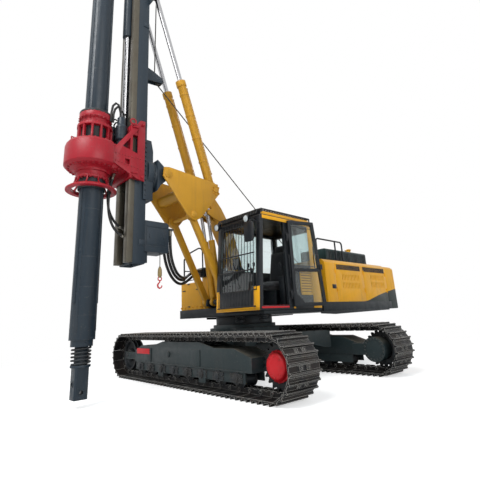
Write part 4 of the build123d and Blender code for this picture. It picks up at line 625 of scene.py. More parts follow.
# Bolts: a washer and a hexagon head of unit size across its corners
def boltPart():
    work = bmesh.new()
    addTurned(work, peg(0.66, -0.1, 0.1), (0, 0, 0), (0, 0, 1), 10)
    addTurned(work, [(0, 0.1), (0.5, 0.1), (0.5, 0.42), (0.42, 0.48), (0, 0.48)], (0, 0, 0), (0, 0, 1), 6)
    return meshOf("boltPart", work)


surfaces = {}


def landOn(node, start, ahead):
    # Where a line of 0.4 m meets a node's surface
    if node not in surfaces:
        source = nodes[node].data
        surfaces[node] = BVHTree.FromPolygons([v.co.copy() for v in source.vertices],
                                              [list(p.vertices) for p in source.polygons])
    return surfaces[node].ray_cast(start, ahead, 0.4)[0]


def boltCircle(row):
    facing = Vector(row["facing"]).normalized()
    side = facing.orthogonal().normalized()
    over = facing.cross(side)
    spots = []
    for i in range(row["count"]):
        angle = 2 * pi * i / row["count"] + radians(row.get("start", 0))
        spots.append(Vector(row["centre"]) + (side * cos(angle) + over * sin(angle)) * row["radius"])
    return spots


def boltLine(row):
    low, high = Vector(row["from"]), Vector(row["to"])
    return [low.lerp(high, i / (row["count"] - 1)) for i in range(row["count"])]


# Each row starts a little outside the surface that it lands on
kellyX = 3.208
boltRows = [
    {"node": "head_cage", "centre": (kellyX, 0, 4.47), "facing": (0, 0, 1), "radius": 0.238, "count": 20},
    {"node": "head_cage", "centre": (kellyX, 0, 4.33), "facing": (0, 0, -1), "radius": 0.246, "count": 20},
    {"node": "head_cage", "centre": (kellyX, 0, 4.27), "facing": (0, 0, 1), "radius": 0.257, "count": 24},
    {"node": "head_case", "centre": (kellyX, 0, 3.95), "facing": (0, 0, 1), "radius": 0.372, "count": 28},
    {"node": "head_case", "centre": (kellyX, 0, 3.46), "facing": (0, 0, -1), "radius": 0.365, "count": 28},
    {"node": "head_bell", "centre": (kellyX, 0, 3.29), "facing": (0, 0, -1), "radius": 0.231, "count": 20},
    {"node": "mast_mount", "centre": (2.1, 0, 3.6), "facing": (-1, 0, 0), "radius": 0.311, "count": 28},
    {"node": "mast_cradle", "centre": (2.3, 0, 3.6), "facing": (1, 0, 0), "radius": 0.25, "count": 20},
]
for side in (-1, 1):
    for z, lift in ((3.745, 0.0), (3.56, 0.055)):
        boltRows.append({"node": "head_bracket", "from": (2.545, side * 0.38, z),
                         "to": (2.985, side * 0.38, z + lift), "facing": (0, side, 0), "count": 9,
                         "size": 0.022})
    boltRows += [
        {"node": "head_bracket", "from": (2.51, side * 0.38, 3.42), "to": (2.51, side * 0.38, 4.4),
         "facing": (0, side, 0), "count": 2, "size": 0.05},
        {"node": "mast_mount", "from": (2.405, side * 0.3, 3.16), "to": (2.405, side * 0.3, 4.13),
         "facing": (0, side, 0), "count": 12},
        {"node": "mast_frame", "centre": (0.94, side * 0.4, 3.505), "facing": (0, side, 0), "radius": 0.085,
         "count": 8},
        {"node": "mast_head", "centre": (2.3, side * 0.29, 12.7), "facing": (0, side, 0), "radius": 0.08,
         "count": 8},
        {"node": "mast_head", "centre": (2.961, side * 0.29, 12.7), "facing": (0, side, 0), "radius": 0.08,
         "count": 8},
        {"node": "mast_head", "from": (2.4, side * 0.29, 11.95), "to": (2.4, side * 0.29, 12.35),
         "facing": (0, side, 0), "count": 6},
    ]
housingRows = [
    {"node": "right_housing", "from": (-3.3, -1.54, 1.34), "to": (-0.95, -1.54, 1.34), "facing": (0, -1, 0),
     "count": 18},
    {"node": "tool_box", "from": (0.66, -1.3, 1.34), "to": (0.66, -0.62, 1.34), "facing": (1, 0, 0),
     "count": 6},
    {"node": "deck", "from": (-0.8, -1.53, 1.21), "to": (-3.4, -1.53, 1.21), "facing": (0, -1, 0),
     "count": 14},
]
parkedTurn = Matrix.Rotation(radians(-92), 4, "Z")


def parked(point):
    return parkedTurn @ Vector(point)


for side in (-1, 1):
    for radius, count in ((0.196, 16), (0.13, 8)):
        boltRows.append({"node": "drive_covers", "centre": parked((-2.176, side * 1.46, 0.44)),
                         "facing": parked((0, side, 0)), "radius": radius, "count": count, "size": 0.018})
    boltRows.append({"node": "track_frames", "centre": parked((-2.176, side * 0.98, 0.44)),
                     "facing": parked((0, -side, 0)), "radius": 0.175, "count": 18, "size": 0.034})
boltGroups = {}
asked = 0
for row in boltRows + housingRows:
    facing = Vector(row["facing"]).normalized()
    spots = boltCircle(row) if "centre" in row else boltLine(row)
    asked += len(spots)
    for spot in spots:
        place = landOn(row["node"], spot, -facing)
        if place:
            boltGroups.setdefault((row["node"], row.get("size", 0.036)), []).append((place, facing))
bolt = boltPart()
for (node, size), spots in boltGroups.items():
    name = node + "Bolts" + str(round(size * 1000))
    repeated(name, "points", spots, bolt, dressing[node][0], bodyOf(node), size)
print("bolt groups:", len(boltGroups), "bolts asked:", asked, "landed:", sum(map(len, boltGroups.values())))


# Tracks: each shoe is a rolled plate with three grousers, four bolts and two links under it
trackSizes = {"centres": 4.352, "gauge": 2.63, "axle": 0.44, "radius": 0.402, "width": 0.6, "count": 52,
              "linkSpread": 0.048, "linkThick": 0.045}


def shoePart(sizes):
    pitch = (2 * sizes["centres"] + 2 * pi * sizes["radius"]) / sizes["count"]
    profile = [(0.004, -0.022), (0.004, -0.006), (0.022, 0.0), (0.03, 0.035), (0.048, 0.035), (0.058, 0.002),
               (0.13, 0.001), (0.138, 0.035), (0.156, 0.035), (0.166, 0.0), (0.2, -0.005), (0.213, -0.018),
               (0.209, -0.026), (0.19, -0.022)]
    half = sizes["width"] / 2
    work = bmesh.new()
    addPrism(work, [(along - pitch / 2, out) for along, out in profile], "y", -half, half)
    for y in (-0.092, -0.048, 0.048, 0.092):
        for along in (0.078, 0.11):
            addTurned(work, peg(0.016, 0, 0.012, 0.002), (along - pitch / 2, y, 0), (0, 0, 1), 6)
    link = [(-0.106, -0.04), (-0.096, -0.026), (0.096, -0.026), (0.106, -0.044), (0.107, -0.072),
            (0.1, -0.101), (0.03, -0.101), (0.02, -0.088), (-0.02, -0.088), (-0.03, -0.101),
            (-0.096, -0.101), (-0.107, -0.08)]
    for hand in (-1, 1):
        addPrism(work, link, "y", hand * (sizes["linkSpread"] + 0.002),
                 hand * (sizes["linkSpread"] + sizes["linkThick"] - 0.002))
    addTurned(work, peg(0.022, -0.105, 0.105), (-pitch / 2, 0, -0.066), (0, 1, 0), 12)
    return meshOf("shoePart", work)


def trackPath(sizes, middle):
    half = sizes["centres"] / 2
    rows = []
    for end in (1, -1):
        for i in range(25):
            turn = pi * i / 24
            outward = Vector((end * sin(turn), 0, end * cos(turn)))
            rows.append((Vector((end * half, middle, sizes["axle"])) + outward * sizes["radius"], outward))
    return rows


shoe = shoePart(trackSizes)
for node, side in (("track_left", 1), ("track_right", -1)):
    rows = trackPath(trackSizes, side * trackSizes["gauge"] / 2)
    chain = repeated(node + "Chain", "trackPath", rows, shoe, "trackSteel", bodyOf(node),
                     count=trackSizes["count"], turn=parkedTurn)
    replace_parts(chain, node)
print("tracks made")


# Track frames: cover plates, a grease plug, a ledge above the rollers and the red block on the idler's yoke
def undercarriageTrim():
    work = bmesh.new()
    red = bmesh.new()
    for side in (-1, 1):
        face = side * (1.315 + 0.215)
        for x in (1.12, -0.5):
            addBox(work, (x - 0.13, face, 0.37), (x + 0.13, face + side * 0.012, 0.62))
        addTurned(work, [(0, 0), (0.05, 0), (0.05, 0.015), (0.03, 0.022), (0, 0.022)], (0.35, face, 0.52),
                  (0, side, 0), 16)
        addBox(work, (-1.75, face, 0.346), (1.25, face + side * 0.008, 0.366))
        addBox(red, (1.04, face - side * 0.03, 0.5), (1.56, face + side * 0.02, 0.6))
    grown("frameCovers", work, "frameGrey", "undercarriage", 0.004, parkedTurn)
    grown("yokeBlocks", red, "signalRed", "undercarriage", 0.006, parkedTurn)


def rollerEnds():
    work = bmesh.new()
    cap = [(0, 0), (0.088, 0), (0.088, 0.012), (0.05, 0.02), (0.05, 0.036), (0.03, 0.042), (0, 0.042)]
    addTurned(work, cap, (0, 0, 0), (0, 0, 1), 20)
    for way in (-1, 1):
        addBox(work, (-0.135, way * 0.03 - 0.024, -0.001), (0.135, way * 0.03 + 0.024, 0.014))
    spots = [(Vector((-1.475 + i * 2.95 / 7, side * (1.315 + 0.186), 0.262)), Vector((0, side, 0)))
             for i in range(8) for side in (-1, 1)]
    repeated("rollerEnds", "points", spots, meshOf("rollerEnd", work), "castGrey", "undercarriage",
             turn=parkedTurn)


undercarriageTrim()
rollerEnds()


# Cab trim is placed by its height and its distance out of the leaning front
cab = {"front": 1.02, "lean": 0.13, "height": 1.61, "floor": 1.18, "left": 1.454, "right": 0.364,
       "rear": -0.64, "top": 2.79}


def cabFront(y, z, out):
    return (cab["front"] - cab["lean"] * (z - cab["floor"]) / cab["height"] + out, y, z)


def cabFrontPlate(work, y0, y1, z0, z1, out=0.004):
    corners = [cabFront(y, z, d) for d in (-0.002, out) for y, z in ((y0, z0), (y1, z0), (y1, z1), (y0, z1))]
    verts = [work.verts.new(c) for c in corners]
    for quad in ((0, 1, 2, 3), (4, 5, 6, 7), (0, 1, 5, 4), (1, 2, 6, 5), (2, 3, 7, 6), (3, 0, 4, 7)):
        work.faces.new([verts[i] for i in quad])


def cabTrim():
    yellow = bmesh.new()
    left = cab["left"]
    for corners in ((0.372, 0.45, 1.19, 1.54), (1.3, 1.448, 1.19, 1.56), (0.372, 1.448, 1.185, 1.245)):
        cabFrontPlate(yellow, *corners)
    for low, high in (((0.13, 1.19), (0.182, 1.61)), ((-0.636, 1.19), (-0.4, 2.74)),
                      ((-0.6, 2.712), (0.84, 2.775))):
        addBox(yellow, (low[0], left, low[1]), (high[0], left + 0.005, high[1]))
    addBox(yellow, (-0.56, left - 0.1, 2.788), (0.8, left - 0.035, 2.806))
    grown("cabYellowTrim", yellow, "panelYellow", "upper", 0.002)
    red = bmesh.new()
    addBox(red, (0.3, left, 1.208), (0.975, left + 0.004, 1.236))
    addBox(red, (0.295, left - 0.056, 1.25), (0.94, left + 0.002, 1.2525))
    grown("doorSill", red, "signalRed", "upper", 0.001)
    seal = bmesh.new()
    for y in (0.448, 1.37):
        cabFrontPlate(seal, y, y + 0.016, 1.5, 2.66, 0.006)
    for z in (1.5, 2.645):
        cabFrontPlate(seal, 0.448, 1.386, z, z + 0.018, 0.006)
    for z in (1.936, 2.665):
        addBox(seal, (-0.562, left - 0.003, z), (0.155, left + 0.007, z + 0.016))
    grown("windowSeals", seal, "hoseRubber", "upper")


def louvrePanel(name, low, high, slats, outward, finish, body):
    # A frame with slats that slope out and down, on a side facing +Y or -Y
    work = bmesh.new()
    x0, z0 = low
    x1, z1 = high
    face, way = outward
    rim = 0.02
    for left, foot, right, head in ((x0, z0, x1, z0 + rim), (x0, z1 - rim, x1, z1), (x0, z0, x0 + rim, z1),
                                    (x1 - rim, z0, x1, z1)):
        addBox(work, (left, face, foot), (right, face + way * 0.014, head))
    step = (z1 - z0 - 2 * rim) / slats
    for i in range(slats):
        foot = z0 + rim + i * step
        head = foot + step * 0.8
        addPrism(work, [(face, foot), (face + way * 0.013, foot), (face + way * 0.002, head), (face, head)],
                 "x", x0 + 0.015, x1 - 0.015)
    grown(name, work, finish, body)


# Guard ahead of the front window: one upright bar set on points, between cross bars
def cabGuardBars():
    work = bmesh.new()
    addTube(work, [(0, 0, 0), (0, 0, 1.48)], 0.0055)
    lean = Vector((-cab["lean"], 0, cab["height"])).normalized()
    low = cab["floor"] + 0.065
    rows = [(Vector(cabFront(0.474, low, 0.04)).lerp(Vector(cabFront(1.344, low, 0.04)), i / 12), lean)
            for i in range(13)]
    repeated("cabGuardBars", "points", rows, meshOf("guardBar", work), "cabBlack", "upper")
    frameWork = bmesh.new()
    for z in (0.065, 0.66, 0.94, cab["height"] - 0.065):
        height = cab["floor"] + z
        addTube(frameWork, [cabFront(0.456, height, 0.04), cabFront(1.362, height, 0.04)], 0.011, 10)
    for y in (0.464, 1.354):
        for z in (0.065, cab["height"] - 0.065):
            height = cab["floor"] + z
            addTube(frameWork, [cabFront(y, height, -0.003), cabFront(y, height, 0.04)], 0.012, 10)
    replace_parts(grown("cabGuardFrame", frameWork, "cabBlack", "upper"), "cab_guard")


def roofGuard():
    work = bmesh.new()
    size = {"rear": -0.56, "front": 0.8, "right": 0.4, "left": 1.415, "top": 2.895, "pitch": 0.068}
    ring = [(size["rear"], size["right"]), (size["front"], size["right"]), (size["front"], size["left"]),
            (size["rear"], size["left"]), (size["rear"], size["right"])]
    for one, two in zip(ring, ring[1:]):
        addTube(work, [(one[0], one[1], size["top"]), (two[0], two[1], size["top"])], 0.016, 10)
        addTube(work, [(one[0], one[1], 2.84), (one[0], one[1], size["top"])], 0.014)
    across = int((size["front"] - size["rear"]) / size["pitch"])
    for i in range(1, across):
        x = size["rear"] + i * (size["front"] - size["rear"]) / across
        addTube(work, [(x, size["right"], size["top"]), (x, size["left"], size["top"])], 0.01, 6)
    along = int((size["left"] - size["right"]) / size["pitch"])
    for i in range(1, along):
        y = size["right"] + i * (size["left"] - size["right"]) / along
        addTube(work, [(size["rear"], y, size["top"]), (size["front"], y, size["top"])], 0.007, 6)
    for i in range(17):
        y = size["right"] + i * (size["left"] - size["right"]) / 16
        addTube(work, [(size["front"], y, size["top"]), (0.9, y, 2.865), (0.945, y, 2.79)], 0.012, 6)
    for x, z in ((0.9, 2.865), (0.925, 2.828), (0.945, 2.79)):
        addTube(work, [(x, size["right"], z), (x, size["left"], z)], 0.01)
    addBox(work, (0.831, 0.392, 2.786), (0.842, 1.426, 2.866))
    grown("roofGuard", work, "cabBlack", "upper")


def workLamps():
    shell = bmesh.new()
    lens = bmesh.new()
    for y, z in ((1.215, 2.735), (0.42, 2.735)):
        place = cabFront(y, z, 0.075)
        addTurned(shell, [(0, -0.06), (0.034, -0.055), (0.062, -0.01), (0.066, 0.03), (0.06, 0.034),
                          (0.056, 0.02), (0, 0.012)], place, (1, 0, -0.12), 28)
        addTurned(lens, [(0, 0.013), (0.056, 0.021), (0.056, 0.026), (0.03, 0.034), (0, 0.036)], place,
                  (1, 0, -0.12), 28)
        addBox(shell, (place[0] - 0.09, y - 0.012, z - 0.012), (place[0] - 0.04, y + 0.012, z + 0.075))
    grown("workLampShells", shell, "cabBlack", "upper")
    grown("workLampLenses", lens, "lampLens", "upper")


def cabMirror():
    work = bmesh.new()
    glass = bmesh.new()
    mount = cabFront(1.43, 2.62, 0.0)
    addTube(work, [mount, (1.03, 1.43, 2.66), (1.08, 1.4, 2.66), (1.085, 1.37, 2.55)], 0.01)
    outline = [(1.27, 2.325), (1.29, 2.29), (1.45, 2.29), (1.47, 2.325), (1.47, 2.59), (1.45, 2.625),
               (1.29, 2.625), (1.27, 2.59)]
    addPrism(work, outline, "x", 1.075, 1.11)
    inset = [(y * 0.92 + 1.37 * 0.08, z * 0.94 + 2.4575 * 0.06) for y, z in outline]
    addPrism(glass, inset, "x", 1.07, 1.0755)
    grown("mirrorShell", work, "cabBlack", "upper", 0.006)
    grown("mirrorGlass", glass, "chrome", "upper")


def cabFittings():
    work = bmesh.new()
    addTube(work, [cabFront(0.9, 1.56, 0.018), cabFront(0.9, 1.585, 0.02),
                   cabFront(0.66, 2.2, 0.014)], 0.008)
    addTube(work, [cabFront(0.7, 1.92, 0.01), cabFront(0.6, 2.46, 0.01)], 0.007, 6)
    addTube(work, [(0.225, 1.452, 1.72), (0.225, 1.478, 1.74), (0.225, 1.478, 2.1),
                   (0.225, 1.452, 2.12)], 0.009)
    grown("cabRailAndWiper", work, "cabBlack", "upper")
    mounts = bmesh.new()
    for x, y in ((0.7, 0.63), (0.7, 1.22)):
        addTurned(mounts, [(0, 0), (0.075, 0), (0.082, 0.03), (0.06, 0.06), (0.082, 0.09), (0.075, 0.12),
                           (0, 0.12)], (x, y, 1.005), (0, 0, 1))
    grown("cabMounts", mounts, "castGrey", "upper")


def puffed(name, centre, size, lean, crown, finish):
    # A cushion: a divided box whose faces are crowned and whose edges are drawn in along a seam
    work = bmesh.new()
    bmesh.ops.create_cube(work, size=1.0)
    bmesh.ops.subdivide_edges(work, edges=work.edges, cuts=11, use_grid_fill=True)
    turn = Matrix.Rotation(radians(lean), 3, "Y")
    for vert in work.verts:
        x, y, z = (2 * c for c in vert.co)
        side = max(0.0, 1 - x * x) ** 0.35 * max(0.0, 1 - y * y) ** 0.35
        high = z * (0.45 + 0.55 * side) + (crown * side if z > 0 else 0)
        pull = 1 - 0.06 * z * z
        channel = 0.05 * max(0.0, 1 - abs(abs(y) - 0.42) / 0.06) * (1 if z > 0.5 else 0)
        vert.co = turn @ Vector((x * pull * size[0], y * pull * size[1], (high - channel) * size[2])) / 2
    bmesh.ops.translate(work, verts=work.verts, vec=centre)
    piece = grown(name, work, finish, "upper")
    piece.data.set_sharp_from_angle(angle=radians(80))


def cabInterior():
    seatX, middle, floor = 0.06, 0.909, 1.2353
    base = bmesh.new()
    addPrism(base, [(seatX - 0.2, floor), (seatX + 0.2, floor), (seatX + 0.17, floor + 0.1),
                    (seatX + 0.15, floor + 0.3), (seatX - 0.17, floor + 0.3), (seatX - 0.18, floor + 0.1)],
             "y", middle - 0.19, middle + 0.19)
    for hand in (-1, 1):
        y = middle + hand * 0.33
        addBox(base, (seatX - 0.22, y, floor), (seatX + 0.22, y + hand * 0.12, floor + 0.52))
        addTube(base, [(seatX + 0.14, y + hand * 0.05, floor + 0.52),
                       (seatX + 0.18, y + hand * 0.04, floor + 0.68)], 0.011, 8)
        addTurned(base, [(0, 0), (0.022, 0.005), (0.028, 0.05), (0.02, 0.1), (0, 0.11)],
                  (seatX + 0.18, y + hand * 0.04, floor + 0.67), (0.2, 0, 1), 14)
        x = cab["front"] - 0.35
        pedal = middle + hand * 0.07
        addTube(base, [(x, pedal, floor + 0.03), (x - 0.01, pedal, floor + 0.55),
                       (x - 0.05, pedal, floor + 0.74)], 0.012, 8)
        addTurned(base, [(0, 0), (0.02, 0), (0.024, 0.06), (0, 0.08)], (x - 0.05, pedal, floor + 0.72),
                  (0, 0, 1), 12)
        addBox(base, (x - 0.02, pedal - 0.04, floor + 0.02), (x + 0.14, pedal + 0.04, floor + 0.06))
    addBox(base, (cab["front"] - 0.4, middle - 0.11, floor),
           (cab["front"] - 0.27, middle + 0.11, floor + 0.18))
    addBox(base, (0.6, 0.43, 1.95), (0.63, 0.6, 2.16))
    stand = grown("seatStandAndLevers", base, "cabBlack", "upper", 0.008)
    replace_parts(stand, "cab_seat")
    puffed("seatCushion", (seatX + 0.005, middle, floor + 0.38), (0.5, 0.48, 0.14), -3, 0.25, "seatCloth")
    puffed("seatBack", (seatX - 0.215, middle, floor + 0.74), (0.62, 0.46, 0.13), 80, 0.22, "seatCloth")
    puffed("headRest", (seatX - 0.285, middle, floor + 1.1), (0.15, 0.27, 0.1), 80, 0.25, "seatCloth")


cabTrim()
cabFittings()
cabGuardBars()
roofGuard()
workLamps()
cabMirror()
cabInterior()
louvrePanel("cabVent", (-0.38, 1.42), (-0.05, 1.84), 8, (1.454, 1), "panelYellow", "upper")
print("cab fitted out")


# Cab door: the handles and the latch block are made in the door's own plane and turned with it
doorTurn = Matrix.Translation((0.24, 1.482, 0)) @ Matrix.Rotation(radians(165), 4, "Z")
doorWork = bmesh.new()
addTube(doorWork, [(0.6, -0.021, 1.98), (0.6, -0.07, 1.99), (0.6, -0.07, 2.12),
                   (0.6, -0.021, 2.13)], 0.01)
addTube(doorWork, [(0.62, 0.021, 1.88), (0.62, 0.075, 1.9), (0.62, 0.075, 2.3),
                   (0.62, 0.021, 2.32)], 0.011)
addBox(doorWork, (0.64, -0.045, 1.86), (0.7, -0.02, 1.95))
grown("doorHandles", doorWork, "cabBlack", "door", turn=doorTurn)


# Engine side: latches on both sides, hinges and the skirts' lower lips
def housingTrim():
    dark = bmesh.new()
    addBox(dark, (-1.205, 1.454, 1.55), (-1.07, 1.46, 1.632))
    addBox(dark, (-1.18, 1.46, 1.58), (-1.095, 1.472, 1.604))
    hinges = bmesh.new()
    for x in (-1.232, -2.334, -3.34):
        for z in (1.48, 1.86):
            addTube(hinges, [(x, 1.46, z), (x, 1.46, z + 0.1)], 0.009)
    grown("housingHinges", hinges, "panelYellow", "upper")
    for x in (-1.6, -2.75):
        addBox(dark, (x - 0.075, -1.503, 1.545), (x + 0.075, -1.495, 1.632))
        addBox(dark, (x - 0.05, -1.515, 1.575), (x + 0.05, -1.503, 1.6))
    grown("housingLatches", dark, "cabBlack", "upper", 0.003)
    lip = bmesh.new()
    for front, inner in ((-0.62, 1.43), (-0.2, -1.488)):
        outline = [(-3.35, 1.123), (front, 1.123), (front, 1.085), (-1.1, 1.062), (-3.35, 1.1)]
        addPrism(lip, outline, "y", inner, inner + 0.02)
    grown("skirtLips", lip, "deckBlack", "upper", 0.004)


def sideGrilles():
    work = bmesh.new()
    addBox(work, (-0.007, -0.052, 0.0), (0.007, 0.052, 0.006))
    slat = meshOf("grilleSlat", work)
    outward = Vector((0, 1, 0))
    middle = 1.99
    for name, start, stop in (("grilleFront", -1.29, -2.19), ("grilleRear", -2.335, -3.3)):
        rows = [(Vector((x, 1.4545, middle)), outward) for x in (start, stop)]
        repeated(name, "edgePath", rows, slat, "cabBlack", "upper", count=34)


def hoodRibs():
    work = bmesh.new()
    addBox(work, (-0.01, -0.003, 0.0), (0.01, 0.003, 0.235))
    rib = meshOf("hoodRib", work)
    for name, y in (("hoodRibsLeft", 1.182), ("hoodRibsRight", 0.508)):
        rows = [(Vector((-1.42 - i * 0.053, y, 2.16)), Vector((0, 0, 1))) for i in range(31)]
        repeated(name, "points", rows, rib, "cabBlack", "upper")


def exhaustAndHood():
    work = bmesh.new()
    place = (-2.9, 0.82, 2.5)
    addRing(work, 0.04, 0.063, 0.0, 0.06, place, (0, 0, 1), 28)
    cap = [(0, 0.065), (0.075, 0.062), (0.082, 0.078), (0.05, 0.098), (0, 0.104)]
    addTurned(work, cap, place, (0, 0, 1), 28)
    grown("exhaustCap", work, "panelYellow", "upper")
    vents = bmesh.new()
    for x in (-1.65, -2.2, -2.75):
        addTube(vents, [(x - 0.13, 0.845, 2.437), (x - 0.13, 0.845, 2.462), (x + 0.13, 0.845, 2.462),
                        (x + 0.13, 0.845, 2.437)], 0.009, 8)
    grown("hoodHandles", vents, "cabBlack", "upper")


# Deck: tread strips on three walking areas, given as rear, front, right, left and height
treads = {"pitch": 0.05, "areas": ((-1.35, -0.93, 0.56, 1.3, 2.1353), (-3.3, -0.95, -1.3, -0.6, 2.0753),
                                   (-0.06, 0.56, -1.25, -0.66, 1.8592))}


def deckTrim():
    pads = bmesh.new()
    for x0, x1, y0, y1, z in treads["areas"]:
        rows = int((x1 - x0) / treads["pitch"])
        for i in range(rows):
            x = x0 + i * (x1 - x0) / rows
            strip = [(x, z), (x + 0.026, z), (x + 0.02, z + 0.004), (x + 0.006, z + 0.004)]
            addPrism(pads, strip, "y", y0, y1)
    grown("treadStrips", pads, "cabBlack", "upper")
    work = bmesh.new()
    for z in (1.36, 1.83):
        addBox(work, (0.622, -1.06, z - 0.012), (0.63, -0.98, z + 0.012))
    for y in (-1.2, -0.7):
        addTube(work, [(0.628, y - 0.05, 1.7), (0.628, y + 0.05, 1.7)], 0.01)
    addTube(work, [(0.6, -1.28, 1.868), (0.6, -1.28, 1.915), (0.6, -0.66, 1.915),
                   (0.6, -0.66, 1.868)], 0.01)
    grown("toolBoxFittings", work, "cabBlack", "upper")


housingTrim()
sideGrilles()
hoodRibs()
exhaustAndHood()
deckTrim()
louvrePanel("toolBoxVent", (0.1, 1.4), (0.52, 1.74), 7, (-1.335, -1), "panelYellow", "upper")
print("housings fitted out")


# Cylinders: bushes that fill the eyes, gland rings and oil pipes
def linkagePins():
    # Pin caps outside the triangular mast frame
    work = bmesh.new()
    for side in (-1, 1):
        for x, z, radius in ((0.94, 3.505, 0.055), (1.48, 2.93, 0.062), (2.03, 3.6, 0.075)):
            cap = [(0, -0.002), (radius, -0.002), (radius, 0.012), (radius * 0.8, 0.018), (0, 0.018)]
            addTurned(work, cap, (x, side * 0.38, z), (0, side, 0), 28)
    grown("linkagePinCaps", work, "boomGold", "mast_frame", 0.002)


def cylinderTrim():
    bush = bmesh.new()
    for side in (-1, 1):
        addRing(bush, 0.0385, 0.0482, -0.04, 0.04, (2.252, side * 0.25, 7.48), (0, 1, 0), 24)
    grown("tiltEyeBushes", bush, "boltZinc", "mast")
    low, high = Vector((0.94, 0, 3.505)), Vector((2.252, 0, 7.48))
    along = (high - low).normalized()
    over = Vector((-along.z, 0, along.x))
    pipes = bmesh.new()
    rings = bmesh.new()
    for side in (-1, 1):
        shift = Vector((0, side * 0.25, 0))

        def at(distance, out):
            return low + shift + along * distance + over * out

        addTube(pipes, [at(0.36, 0.08), at(0.38, 0.118), at(2.16, 0.118), at(2.19, 0.08)], 0.011)
        for distance in (0.62, 1.1, 1.58, 2.02):
            addRing(rings, 0.086, 0.093, distance, distance + 0.03, low + shift, along, 32)
        for distance in (0.37, 2.175):
            addTurned(rings, [(0, 0), (0.026, 0), (0.026, 0.03), (0.018, 0.05), (0, 0.05)],
                      at(distance, 0.078), over, 6)
    grown("tiltPipes", pipes, "boomGold", "tilt_barrels")
    grown("tiltClamps", rings, "boomGold", "tilt_barrels")


# Mast: splice bars on its flanks, oil pipes with their clamps, and the service box's door
mastFittings = {"barHeights": (2.3, 4.45, 6.6, 8.75, 10.9), "barBack": 2.378, "barFront": 2.484,
                "barHigh": 0.09, "flank": 0.2305, "barThick": 0.012, "pipeX": 2.362,
                "pipeY": (-0.12, -0.085, 0.115),
                "pipeRuns": ((4.3, 5.5), (5.95, 7.15), (7.82, 12.3)), "pipeRadius": 0.009,
                "clampHeights": (4.6, 5.3, 6.2, 6.9, 8.1, 8.9, 9.7, 10.5, 11.3),
                "clampSpans": ((-0.135, -0.07), (0.1, 0.13))}


def mastTrim():
    fit = mastFittings
    work = bmesh.new()
    for side in (-1, 1):
        for z in fit["barHeights"]:
            addBox(work, (fit["barBack"], side * fit["flank"], z),
                   (fit["barFront"], side * (fit["flank"] + fit["barThick"]), z + fit["barHigh"]))
    grown("mastSpliceBars", work, "mastSlate", "mast", 0.003)
    pipes = bmesh.new()
    for y in fit["pipeY"]:
        for low, high in fit["pipeRuns"]:
            addTube(pipes, [(fit["pipeX"], y, low), (fit["pipeX"], y, high)], fit["pipeRadius"])
    for z in fit["clampHeights"]:
        for y0, y1 in fit["clampSpans"]:
            addBox(pipes, (2.35, y0, z), (2.3718, y1, z + 0.03))
    grown("mastPipes", pipes, "castGrey", "mast")
    box = bmesh.new()
    for z in (2.3, 2.64):
        addBox(box, (1.935, 0.2005, z), (2.345, 0.206, z + 0.012))
    addBox(box, (1.955, 0.2005, 2.335), (2.325, 0.208, 2.615))
    for x in (2.00, 2.28):
        addTube(box, [(x, 0.212, 2.44), (x, 0.212, 2.52)], 0.009)
    for z in (2.3, 2.42, 2.54, 2.66):
        addBox(box, (1.935, -0.156, z), (2.345, -0.1505, z + 0.018))
    grown("serviceBoxDoor", box, "mastSlate", "mast", 0.003)


# Red rotary head: motor ribs and caps, oil pipes that arch over to the back plate
headFittings = {"motorX": 2.842, "motorY": 0.2, "motorTop": 4.47, "ribs": 9, "ribLow": 4.085, "ribPitch": 0.024,
                "ribRadii": (0.088, 0.097), "ribHigh": 0.01, "capCircle": 0.052, "sideBolts": 24,
                "sideBoltRadius": 0.421, "sideBoltHeight": 3.56}


